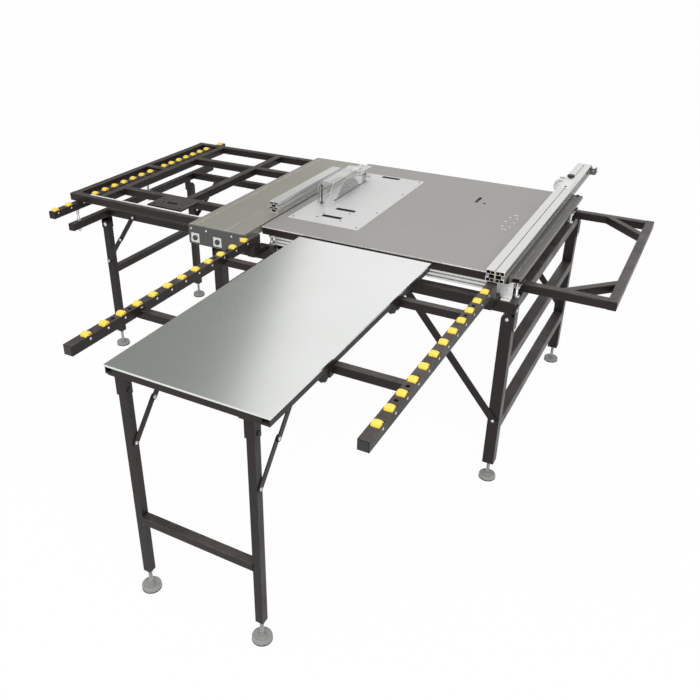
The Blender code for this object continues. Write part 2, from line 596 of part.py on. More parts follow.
# Saw below the insert plate
def build_saw():
    mount_top = plate_bottom - SEAT_GAP
    motor_left = blade_x + BLADE_THICKNESS / 2 + ARBOR_END
    motor_right = motor_left + MOTOR_LENGTH
    mount_x = around((motor_left + motor_right) / 2, MOTOR_MOUNT_LENGTH)
    knife_back = knife_y + KNIFE_LENGTH
    knife_bottom = TABLE_HEIGHT - KNIFE_ROOT
    knife_x = around(blade_x, KNIFE_THICKNESS)
    holder_right = motor_left + ARBOR_END + KNIFE_HOLDER
    pin_y = knife_back - GUARD_PIN_INSET
    pin_z = TABLE_HEIGHT + KNIFE_RISE - GUARD_PIN_DROP
    motor = weld(
        [rod("X", (blade_y, blade_z), (motor_left, motor_right), MOTOR_RADIUS),
         block(mount_x, around(blade_y, MOTOR_MOUNT_WIDTH), (blade_z, mount_top)),
         rod("X", (blade_y, blade_z), (blade_x - BLADE_THICKNESS / 2 - ARBOR_END, motor_left + ARBOR_END),
             ARBOR_RADIUS),
         block((holder_right - KNIFE_HOLDER, holder_right), (blade_y, knife_back),
               around(knife_bottom, KNIFE_HOLDER)),
         block((blade_x - KNIFE_THICKNESS / 2, holder_right), (knife_y, knife_back),
               around(knife_bottom, KNIFE_HOLDER)),
         block(knife_x, (knife_y, knife_back), (knife_bottom, TABLE_HEIGHT + KNIFE_RISE)),
         rod("X", (pin_y, pin_z), around(blade_x, GUARD_WIDTH), GUARD_PIN_RADIUS, sides=SMALL_ROUND_SIDES)])
    node("saw_motor", motor, "motor black")

    blade_span = around(blade_x, BLADE_THICKNESS)
    blade = weld(
        [rod("X", (blade_y, blade_z), blade_span, BLADE_RADIUS, sides=BLADE_SIDES)],
        [rod("X", (blade_y, blade_z), around(blade_x, 2 * CUT_MARGIN), ARBOR_RADIUS + PIN_PLAY)])
    node("saw_blade", blade, "blade steel", (blade_x, blade_y, blade_z))

    back = pin_y + GUARD_PIN_DROP
    front = back - GUARD_LENGTH
    foot_z = TABLE_HEIGHT + GUARD_FOOT
    top_z = TABLE_HEIGHT + GUARD_TOP
    step_z = top_z - GUARD_STEP
    step_y = blade_y + BLADE_RADIUS / 2
    outer_x = around(blade_x, GUARD_WIDTH)
    inner_x = around(blade_x, GUARD_WIDTH - 2 * GUARD_WALL)
    nose = (front + GUARD_NOSE, top_z - GUARD_NOSE)
    guard = weld(
        [block(outer_x, (nose[0], back), (foot_z, top_z)),
         block(outer_x, (front, nose[0] + WELD_DEPTH), (foot_z, nose[1])),
         rod("X", nose, outer_x, GUARD_NOSE)],
        [block(inner_x, (nose[0], back + CUT_MARGIN), (foot_z - CUT_MARGIN, top_z - GUARD_WALL)),
         block(inner_x, (front + GUARD_WALL, nose[0] + WELD_DEPTH), (foot_z - CUT_MARGIN, nose[1])),
         rod("X", nose, inner_x, GUARD_NOSE - GUARD_WALL),
         rod("X", (pin_y, pin_z), around(blade_x, GUARD_WIDTH + CUT_MARGIN), GUARD_PIN_RADIUS + PIN_PLAY,
             sides=SMALL_ROUND_SIDES),
         block(around(blade_x, GUARD_WIDTH + CUT_MARGIN), (step_y, back + CUT_MARGIN),
               (step_z, top_z + CUT_MARGIN))],
        [block(outer_x, (step_y - GUARD_WALL, back), (step_z - GUARD_WALL, step_z)),
         block(outer_x, (step_y - GUARD_WALL, step_y), (step_z - GUARD_WALL, top_z))])
    node("blade_guard", guard, "clear guard", (blade_x, pin_y, pin_z))


# Saw bench base with its bearing bed, leg brackets and jack bolts
def leg_bracket(x, y, outward_x, inward_y):
    # Web outside the leg, cheek behind it and the fold pin, flush with the leg's face, as one bracket.
    web_face = x + outward_x * (leg_half + SLIDE_GAP)
    web = sorted((web_face, web_face + outward_x * LEG_BRACKET_PLATE))
    cheek_face = y + inward_y * (leg_half + SLIDE_GAP)
    cheek = sorted((cheek_face, cheek_face + inward_y * LEG_BRACKET_PLATE))
    outer_face = y - inward_y * leg_half
    web_y = sorted((outer_face, cheek_face + inward_y * LEG_BRACKET_PLATE))
    bottom = base_bottom - LEG_BRACKET_DEPTH
    pin = sorted((cheek_face + inward_y * WELD_DEPTH, outer_face))
    cheek_x = sorted((x - outward_x * leg_half, web_face + outward_x * WELD_DEPTH))
    lug_x = sorted((x, web_face + outward_x * LEG_BRACKET_PLATE))
    lug_z = (base_bottom + WELD_DEPTH, base_bottom + BASE_TUBE / 2)
    return [
        block(web, web_y, (bottom, lug_z[1])),
        block(lug_x, web_y, lug_z),
        block(cheek_x, cheek, (bottom, base_bottom + WELD_DEPTH)),
        rod("Y", (x, leg_pivot_z), pin, LEG_PIN_RADIUS, sides=SMALL_ROUND_SIDES),
    ]


brace_z = base_bottom + BASE_TUBE / 2
brace_right_x = right_leg_x - BRACE_REACH
brace_left_x = left_leg_x + BRACE_REACH
BRACES = {
    "brace_right_front": (brace_right_x, right_leg_x, base_front, -1),
    "brace_right_rear": (brace_right_x, right_leg_x, base_back, 1),
    "brace_left_front": (brace_left_x, left_leg_x, base_front, -1),
    "brace_left_rear": (brace_left_x, left_leg_x, base_back, 1),
}


def build_base():
    level = (base_bottom, base_top)
    tube = BASE_TUBE
    beam = around(jack_left_x, tube)
    solids = [
        block((base_left, base_right), (base_front, base_front + tube), level),
        block((base_left, base_right), (base_back - tube, base_back), level),
        block((base_left, base_left + tube), (base_front, base_back), level),
        block((base_right - tube, base_right), (base_front, base_back), level),
        block(beam, (base_front, base_back), level),
    ]
    block_top = deck_bottom - BEARING_TOP_GAP
    bearing_x = (shaft_xs[0] - BEARING_OVERHANG, shaft_xs[1] + BEARING_OVERHANG)
    for y in bearing_ys:
        solids.append(block((base_left, beam[1]), around(y, tube), level))
        solids.append(block(bearing_x, around(y, BEARING_LENGTH), (base_top - WELD_DEPTH, block_top)))
        solids.append(block(bearing_x, around(y, tube), level))
    for x in (jack_left_x, jack_right_x):
        for y in jack_ys:
            solids.append(rod("Z", (x, y), (base_top - WELD_DEPTH, frame_bottom - SEAT_GAP), JACK_RADIUS,
                              sides=SMALL_ROUND_SIDES))
            solids.append(rod("Z", (x, y), (base_top - WELD_DEPTH, base_top + JACK_NUT), JACK_NUT_RADIUS,
                              sides=6))
    for x, outward in ((right_leg_x, 1), (left_leg_x, -1)):
        solids += leg_bracket(x, front_leg_y, outward, 1)
        solids += leg_bracket(x, back_leg_y, outward, -1)
    for pin_x, foot_x, face_y, outward in BRACES.values():
        near = face_y + outward * (SLIDE_GAP + BRACE_THICKNESS)
        solids.append(rod("Y", (pin_x, brace_z), sorted((face_y - outward * WELD_DEPTH, near)), LEG_PIN_RADIUS,
                          sides=SMALL_ROUND_SIDES))
    bores = [rod("Y", (x, shaft_z), (bearing_ys[0] - BEARING_LENGTH, bearing_ys[1] + BEARING_LENGTH),
                 SHAFT_RADIUS + PIN_PLAY) for x in shaft_xs]
    node("base_frame", weld(solids, bores), "dark paint")


def build_leg_pair(name, x):
    solids = []
    bores = []
    for y in (front_leg_y, back_leg_y):
        solids += rounded_leg("Y", x, y, BASE_TUBE, leg_pivot_z)
        solids += foot(x, y)
        bores.append(rod("Y", (x, leg_pivot_z), around(y, 2 * BASE_TUBE), LEG_PIN_RADIUS + PIN_PLAY,
                         sides=SMALL_ROUND_SIDES))
    for height in SIDE_RAIL_HEIGHTS:
        solids.append(block(around(x, BASE_TUBE), (front_leg_y, back_leg_y), around(height, BASE_TUBE)))
    node(name, weld(solids, bores), "dark paint", (x, front_leg_y, leg_pivot_z))


def build_braces():
    # Flat braces: pinned to the base frame, released at the leg, where the bolt head stays on the brace.
    for name, (pin_x, leg_x, face_y, outward) in BRACES.items():
        near = face_y + outward * SLIDE_GAP
        far = near + outward * BRACE_THICKNESS
        span = sorted((near, far))
        head = sorted((far - outward * WELD_DEPTH, far + outward * LEG_PIN_HEAD))
        brace = weld(
            [flat_link("Y", (pin_x, brace_z), (leg_x, BRACE_FOOT_HEIGHT), BRACE_WIDTH, span),
             rod("Y", (leg_x, BRACE_FOOT_HEIGHT), head, LEG_PIN_HEAD_RADIUS, sides=SMALL_ROUND_SIDES)],
            [rod("Y", (pin_x, brace_z), around(face_y, 4 * CUT_MARGIN), LEG_PIN_RADIUS + PIN_PLAY,
                 sides=SMALL_ROUND_SIDES)])
        node(name, brace, "dark paint", (pin_x, face_y, brace_z))


# Sliding table, crosscut fence and outrigger
def build_sliding_table():
    plate_z = (TABLE_HEIGHT - END_PLATE_DEPTH, TABLE_HEIGHT)
    front_plate = (deck_front, deck_front + END_PLATE_THICKNESS)
    back_plate = (deck_back - END_PLATE_THICKNESS, deck_back)
    solids = [
        block((deck_left, deck_right), (deck_front, deck_back), (deck_bottom, TABLE_HEIGHT)),
        block((deck_left, deck_right), front_plate, plate_z),
        block((deck_left, deck_right), back_plate, plate_z),
    ]
    proud = SHAFT_BLOCK_THICKNESS - END_PLATE_THICKNESS
    for x in shaft_xs:
        solids.append(rod("Y", (x, shaft_z), (deck_front - proud - SHAFT_STUB, deck_back + proud + SHAFT_STUB),
                          SHAFT_RADIUS))
        for plate, outward in ((front_plate, -proud), (back_plate, proud)):
            faces = (min(plate[0], plate[0] + outward), max(plate[1], plate[1] + outward))
            solids.append(block(around(x, SHAFT_BLOCK), faces, around(shaft_z, SHAFT_BLOCK)))
    node("sliding_top", weld(solids), "deck aluminium")


def build_crosscut_fence():
    right = deck_right - CROSSCUT_INSET
    left = right - CROSSCUT_WIDTH
    front = deck_front + CROSSCUT_SETBACK
    along = (front, front + CROSSCUT_LENGTH)
    bottom = TABLE_HEIGHT + SEAT_GAP
    cuts = []
    cut_along = (front - CUT_MARGIN, front + CROSSCUT_LENGTH + CUT_MARGIN)
    for level in CROSSCUT_GROOVES:
        for x in ((left - CUT_MARGIN, left + GROOVE_DEPTH), (right - GROOVE_DEPTH, right + CUT_MARGIN)):
            cuts.append(block(x, cut_along, around(bottom + level, GROOVE_WIDTH)))
    fence = weld([block((left, right), along, (bottom, bottom + CROSSCUT_HEIGHT))], cuts)
    node("crosscut_fence", fence, "bright aluminium")


def build_outrigger():
    level = (outrigger_bottom, TABLE_HEIGHT)
    tube = OUTRIGGER_TUBE
    across = (outrigger_left, outrigger_right)
    along = (outrigger_front, outrigger_back)
    inner_left = outrigger_left + tube + OUTRIGGER_INNER_GAP
    beams = [outrigger_front + offset for offset in OUTRIGGER_CROSS_BEAMS]
    grid_left = outrigger_left + OUTRIGGER_GRID_BEAM
    bridge = outrigger_front + OUTRIGGER_BRIDGE
    shelf_x = (grid_left - SHELF_OVERHANG, grid_left - SHELF_OVERHANG + SHELF_WIDTH)
    shelf_y = (beams[0] - SHELF_DEPTH, beams[0] + tube / 2)
    solids = [
        block((outrigger_left, outrigger_left + tube), along, level),
        block((inner_left, inner_left + tube), along, level),
        block(across, (outrigger_front, outrigger_front + tube), level),
        block(across, (outrigger_back - tube, outrigger_back), level),
        block((grid_left, grid_left + tube), (beams[0], outrigger_back), level),
        block((outrigger_left, inner_left + tube), (bridge, bridge + tube), level),
        block(shelf_x, shelf_y, (TABLE_HEIGHT - SHELF_THICKNESS, TABLE_HEIGHT)),
    ]
    for y in beams:
        solids.append(block((inner_left, outrigger_right), (y, y + tube), level))
    bar_x = outrigger_left + tube + OUTRIGGER_INNER_GAP / 2
    bar_z = (rack_top - ROLLER_BAR, rack_top)
    axle_z = rack_top + ROLLER_RISE - ROLLER_RADIUS
    for front, back in ((outrigger_front + tube, bridge), (bridge + tube, outrigger_back - tube)):
        solids.append(block(around(bar_x, ROLLER_BAR), (front - WELD_DEPTH, back + WELD_DEPTH), bar_z))
        for y in roller_ys(front, back, OUTRIGGER_ROLLERS, OUTRIGGER_ROLLER_MARGIN, OUTRIGGER_ROLLER_MARGIN):
            solids.append(rod("X", (y, axle_z), around(bar_x, ROLLER_WIDTH), ROLLER_RADIUS, sides=SMALL_ROUND_SIDES))
    slot = block(around(sum(shelf_x) / 2, SHELF_SLOT_LENGTH),
                 around(shelf_y[0] + SHELF_DEPTH / 2, SHELF_SLOT_WIDTH),
                 (TABLE_HEIGHT - 2 * CUT_MARGIN, TABLE_HEIGHT + CUT_MARGIN))
    node("outrigger_frame", weld(solids, [slot]), "dark paint")


# Rollers and their bars
def roller_pocket(x, y, top):
    side = ROLLER_WIDTH + 2 * ROLLER_SIDE_GAP
    length = 2 * (ROLLER_RADIUS + ROLLER_END_GAP)
    axle_z = top + ROLLER_RISE - ROLLER_RADIUS
    floor_z = axle_z - ROLLER_RADIUS - ROLLER_SIDE_GAP
    return block(around(x, side), around(y, length), (floor_z, top + CUT_MARGIN))


def roller_ys(front, back, count, front_margin, back_margin):
    first = front + front_margin
    step = (back - back_margin - first) / (count - 1)
    return [first + step * index for index in range(count)]


def build_outrigger_rail():
    bar = (rail_front, rail_back)
    axle_z = rail_top + ROLLER_RISE - ROLLER_RADIUS
    solids = [block(around(rail_x, ROLLER_BAR), bar, (rail_bottom, rail_top))]
    for y in roller_ys(rail_front, rail_back, RAIL_ROLLERS, RAIL_END_MARGIN, RAIL_END_MARGIN):
        solids.append(rod("X", (y, axle_z), around(rail_x, ROLLER_WIDTH), ROLLER_RADIUS,
                          sides=SMALL_ROUND_SIDES))
    for y in rod_ys:
        solids.append(rod("Z", (rail_x, y), (stand_bottom - RAIL_ROD_TAIL, rail_bottom + WELD_DEPTH),
                          RAIL_ROD_RADIUS, sides=SMALL_ROUND_SIDES))
        solids.append(rod("Z", (rail_x, y), (stand_top + SEAT_GAP, stand_top + SEAT_GAP + RAIL_ROD_NUT),
                          RAIL_ROD_NUT_RADIUS, sides=6))
        solids.append(rod("Z", (rail_x, y), (stand_bottom - SEAT_GAP - RAIL_ROD_NUT, stand_bottom - SEAT_GAP),
                          RAIL_ROD_NUT_RADIUS, sides=6))
    node("outrigger_rail", weld(solids), "dark paint")


def build_roller_rack():
    level = (rack_bottom, rack_top)
    ys = roller_ys(rack_front, rack_back, RACK_ROLLERS, RACK_FRONT_MARGIN, RACK_REAR_MARGIN)
    axle_z = rack_top + ROLLER_RISE - ROLLER_RADIUS
    post_y = (rack_back - RACK_POST_DEPTH, rack_back)
    arm_z = (base_top + SEAT_GAP, base_top + SEAT_GAP + RACK_ARM_THICKNESS)
    solids = []
    pockets = []
    axles = []
    for x in rack_xs:
        solids.append(block(around(x, ROLLER_BAR), (rack_front, rack_back), level))
        solids.append(block(around(x, ROLLER_BAR), post_y, (arm_z[0], rack_bottom + WELD_DEPTH)))
        solids.append(block(around(x, ROLLER_BAR), (post_y[0], base_front + RACK_FOOT_DEPTH), arm_z))
        for index in RACK_HOLES_AFTER:
            hole_y = (ys[index - 1] + ys[index]) / 2
            pockets.append(rod("Z", (x, hole_y), (rack_top - RACK_HOLE_DEPTH, rack_top + CUT_MARGIN),
                               RACK_HOLE_RADIUS, sides=SMALL_ROUND_SIDES))
        for y in ys:
            pockets.append(roller_pocket(x, y, rack_top))
            axles.append(rod("X", (y, axle_z), around(x, ROLLER_BAR), ROLLER_AXLE_RADIUS, sides=8))
    for setback in RACK_CROSS_BARS:
        solids.append(block((rack_xs[0], rack_xs[1]), around(rack_back - setback, RACK_CROSS_TUBE),
                            (cross_bar_bottom, cross_bar_top)))
    node("roller_rack", weld(solids, pockets, axles), "dark paint")

    for side, x in zip(("left", "right"), rack_xs):
        for index, y in enumerate(ys, start=1):
            roller = weld(
                [rod("X", (y, axle_z), around(x, ROLLER_WIDTH), ROLLER_RADIUS)],
                [rod("X", (y, axle_z), around(x, ROLLER_BAR), ROLLER_AXLE_RADIUS + PIN_PLAY, sides=8)])
            node(f"roller_{side}_{index:02d}", roller, "yellow roller", (x, y, axle_z))


# Stand below the outrigger rail
def stay_knuckle(start, end, share):
    # Where a stay's two links meet, on the line between its ends.
    return (start[0] + share * (end[0] - start[0]), start[1] + share * (end[1] - start[1]))


stand_stay_start = (stand_leg_x + STAND_STAY_REACH, stand_bottom + STAND_TUBE / 2)
stand_stay_end = (stand_leg_x, stand_pivot_z - STAND_STAY_DROP)


def stand_stay_planes(y, inward):
    # Y ranges of the upper and the lower link, outside the beam's and the leg's outer faces.
    face = y - inward * STAND_TUBE / 2
    upper = sorted((face - inward * SLIDE_GAP, face - inward * (SLIDE_GAP + LINK_THICKNESS)))
    lower_near = face - inward * (2 * SLIDE_GAP + LINK_THICKNESS)
    lower = sorted((lower_near, lower_near - inward * LINK_THICKNESS))
    return face, upper, lower


def build_stand():
    level = (stand_bottom, stand_top)
    tube = STAND_TUBE
    beam_right = base_left - SEAT_GAP
    solids = [block(around(rail_x, tube), (stand_bar_front, stand_bar_back), level)]
    for y, inward in ((stand_front_y, 1), (stand_back_y, -1)):
        solids.append(block((rail_x, beam_right), around(y, tube), level))
        web_face = stand_leg_x - tube / 2 - SLIDE_GAP
        web = (web_face - LEG_BRACKET_PLATE, web_face)
        cheek_face = y + inward * (tube / 2 + SLIDE_GAP)
        cheek = sorted((cheek_face, cheek_face + inward * LEG_BRACKET_PLATE))
        bracket_y = sorted((y - inward * tube / 2, cheek_face + inward * LEG_BRACKET_PLATE))
        bottom = stand_bottom - STAND_BRACKET_DEPTH
        solids.append(block(web, bracket_y, (bottom, stand_bottom + tube / 2)))
        solids.append(block((web[0], rail_x), bracket_y, (stand_bottom, stand_bottom + tube / 2)))
        solids.append(block((web[0], stand_leg_x + tube / 2), cheek, (bottom, stand_bottom + WELD_DEPTH)))
        face, upper, lower = stand_stay_planes(y, inward)
        pin = sorted((cheek_face + inward * WELD_DEPTH, face))
        solids.append(rod("Y", (stand_leg_x, stand_pivot_z), pin, LEG_PIN_RADIUS, sides=SMALL_ROUND_SIDES))
        stay_pin = sorted((face + inward * WELD_DEPTH, face - inward * (SLIDE_GAP + LINK_THICKNESS)))
        solids.append(rod("Y", stand_stay_start, stay_pin, STAY_PIN_RADIUS, sides=SMALL_ROUND_SIDES))
    hole_z = (stand_bottom - CUT_MARGIN, stand_top + CUT_MARGIN)
    holes = [rod("Z", (rail_x, y), hole_z, RAIL_ROD_RADIUS + PIN_PLAY, sides=SMALL_ROUND_SIDES)
             for y in rod_ys]
    node("stand_frame", weld(solids, holes), "dark paint")

    solids = []
    bores = []
    for y, inward in ((stand_front_y, 1), (stand_back_y, -1)):
        solids += rounded_leg("Y", stand_leg_x, y, tube, stand_pivot_z)
        solids += foot(stand_leg_x, y)
        bores.append(rod("Y", (stand_leg_x, stand_pivot_z), around(y, 2 * tube), LEG_PIN_RADIUS + PIN_PLAY,
                         sides=SMALL_ROUND_SIDES))
        face, upper, lower = stand_stay_planes(y, inward)
        pin = sorted((face + inward * WELD_DEPTH, face - inward * 2 * (SLIDE_GAP + LINK_THICKNESS)))
        solids.append(rod("Y", stand_stay_end, pin, STAY_PIN_RADIUS, sides=SMALL_ROUND_SIDES))
    solids.append(block(around(stand_leg_x, tube), (stand_front_y, stand_back_y),
                        around(STAND_CROSSBAR_HEIGHT, tube)))
    node("stand_legs", weld(solids, bores), "dark paint", (stand_leg_x, stand_front_y, stand_pivot_z))

    knuckle = stay_knuckle(stand_stay_start, stand_stay_end, STAND_STAY_SHARE)
    for place, y, inward in (("front", stand_front_y, 1), ("rear", stand_back_y, -1)):
        face, upper, lower = stand_stay_planes(y, inward)
        for part, plane, pin in (("upper", upper, stand_stay_start), ("lower", lower, stand_stay_end)):
            link = weld(
                [flat_link("Y", pin, knuckle, LINK_WIDTH, plane)],
                [rod("Y", pin, around(face, 4 * CUT_MARGIN), STAY_PIN_RADIUS + PIN_PLAY,
                     sides=SMALL_ROUND_SIDES)])
            node(f"stand_stay_{place}_{part}", link, "dark paint", (pin[0], face, pin[1]))


# Front fence rail and rip fence
def build_fence():
    half_bar = ROLLER_BAR / 2
    front = -FENCE_RAIL_REACH
    back = front + FENCE_RAIL_DEPTH
    upright_y = (back - RAIL_FOOT_PLATE, back)
    rail_left = rack_xs[0] + half_bar + FENCE_RAIL_LEFT_GAP
    rail_right = rack_xs[1] + FENCE_RAIL_PAST_BAR
    left_foot_x = (rail_left, rail_left + RAIL_FOOT_WIDTH)
    foot_left = rack_xs[1] + half_bar + RAIL_FOOT_GAP
    right_foot_x = (foot_left, foot_left + RAIL_FOOT_WIDTH)
    seat = base_top + SEAT_GAP
    foot_z = (seat, seat + RAIL_FOOT_PLATE)
    solids = [
        block((rail_left, rail_right), (front, back), (fence_rail_bottom, fence_rail_top)),
        block(left_foot_x, upright_y, (seat, fence_rail_bottom + WELD_DEPTH)),
        block(left_foot_x, (front, back), foot_z),
        block((rack_xs[1] - half_bar, right_foot_x[1]), upright_y, (seat, fence_rail_top)),
        block(right_foot_x, (front, back), foot_z),
    ]
    groove = block((rail_left - CUT_MARGIN, rail_right + CUT_MARGIN),
                   (front - CUT_MARGIN, front + GROOVE_DEPTH),
                   around((fence_rail_bottom + fence_rail_top) / 2, GROOVE_WIDTH))
    node("front_fence_rail", weld(solids, [groove]), "bright aluminium")

    middle = (fence_left + fence_right) / 2
    carriage_back = front - SLIDE_GAP
    hook_front = TABLE_DEPTH + SLIDE_GAP
    wheel_y = fence_front + WHEEL_SETBACK
    wheel_x = fence_left - WHEEL_RADIUS - SLIDE_GAP
    wheel_z = TABLE_HEIGHT - WHEEL_DROP
    arm_y = (wheel_y + WHEEL_THICKNESS / 2 + SLIDE_GAP, wheel_y + WHEEL_THICKNESS / 2 + SLIDE_GAP + WHEEL_ARM)
    knob_y = wheel_y - KNOB_FROM_WHEEL
    knob_x = fence_left + KNOB_INSET
    solids = [
        block((fence_left, fence_right), (fence_front, fence_back), (fence_bottom, fence_top)),
        block(around(middle - CARRIAGE_SHIFT, CARRIAGE_WIDTH), (carriage_back - CARRIAGE_THICKNESS, carriage_back),
              (fence_rail_bottom, fence_bottom + WELD_DEPTH)),
        block(around(middle, HOOK_WIDTH), (hook_front, hook_front + HOOK_THICKNESS),
              (TABLE_HEIGHT - HOOK_DEPTH, fence_bottom + WELD_DEPTH)),
        block((wheel_x - WHEEL_PIN_RADIUS * 2, fence_left + WELD_DEPTH), arm_y,
              (wheel_z - WHEEL_PIN_RADIUS * 2, wheel_z + WHEEL_RADIUS + WHEEL_ARM)),
        rod("Y", (wheel_x, wheel_z), (wheel_y - WHEEL_THICKNESS / 2, arm_y[0] + WELD_DEPTH), WHEEL_PIN_RADIUS,
            sides=SMALL_ROUND_SIDES),
        rod("Z", (knob_x, knob_y), (fence_top - WELD_DEPTH, fence_top + KNOB_HEIGHT), KNOB_STEM_RADIUS,
            sides=SMALL_ROUND_SIDES),
        rod("Z", (knob_x, knob_y), (fence_top + KNOB_HEIGHT / 3, fence_top + KNOB_HEIGHT), KNOB_RADIUS,
            sides=SMALL_ROUND_SIDES),
        block((fence_right - WELD_DEPTH, fence_right + CLAMP_WIDTH), (fence_back - CLAMP_LENGTH, fence_back),
              around((fence_bottom + fence_top) / 2, CLAMP_HEIGHT)),
    ]
    cut_along = (fence_front - CUT_MARGIN, fence_back - CLAMP_LENGTH - CUT_MARGIN)
    groove_z = around((fence_bottom + fence_top) / 2, GROOVE_WIDTH)
    cuts = [
        block((fence_right - GROOVE_DEPTH, fence_right + CUT_MARGIN), cut_along, groove_z),
        block((fence_left - CUT_MARGIN, fence_left + GROOVE_DEPTH),
              (cut_along[0], arm_y[0] - CUT_MARGIN), groove_z),
        block(around(middle, FENCE_SEAM_WIDTH), (cut_along[0], arm_y[0] - CUT_MARGIN),
              (fence_top - FENCE_SEAM_DEPTH, fence_top + CUT_MARGIN)),
    ]
    node("rip_fence", weld(solids, cuts), "bright aluminium")

    wheel_span = around(wheel_y, WHEEL_THICKNESS)
    wheel = weld(
        [rod("Y", (wheel_x, wheel_z), wheel_span, WHEEL_RADIUS, sides=WHEEL_SIDES)],
        [rod("Y", (wheel_x, wheel_z), around(wheel_y, 2 * WHEEL_THICKNESS), WHEEL_PIN_RADIUS + PIN_PLAY,
             sides=SMALL_ROUND_SIDES)])
    node("fence_wheel", wheel, "white nylon", (wheel_x, wheel_y, wheel_z))


# Extension table
def extension_stay_planes(leg_x):
    # X ranges of the lower link beside the leg, the upper link and the ear that carries it.
    face = leg_x + EXTENSION_TUBE / 2
    lower = (face + SLIDE_GAP, face + SLIDE_GAP + LINK_THICKNESS)
    upper = (lower[1] + SLIDE_GAP, lower[1] + SLIDE_GAP + LINK_THICKNESS)
    ear = (upper[1] + SLIDE_GAP, upper[1] + SLIDE_GAP + EAR_THICKNESS)
    return face, lower, upper, ear


extension_stay_start = (
    extension_leg_y + EXTENSION_STAY_REACH,
    extension_frame_bottom - EXTENSION_STAY_PIN_DROP,
)
extension_stay_end = (extension_leg_y, extension_pivot_z - EXTENSION_STAY_DROP)


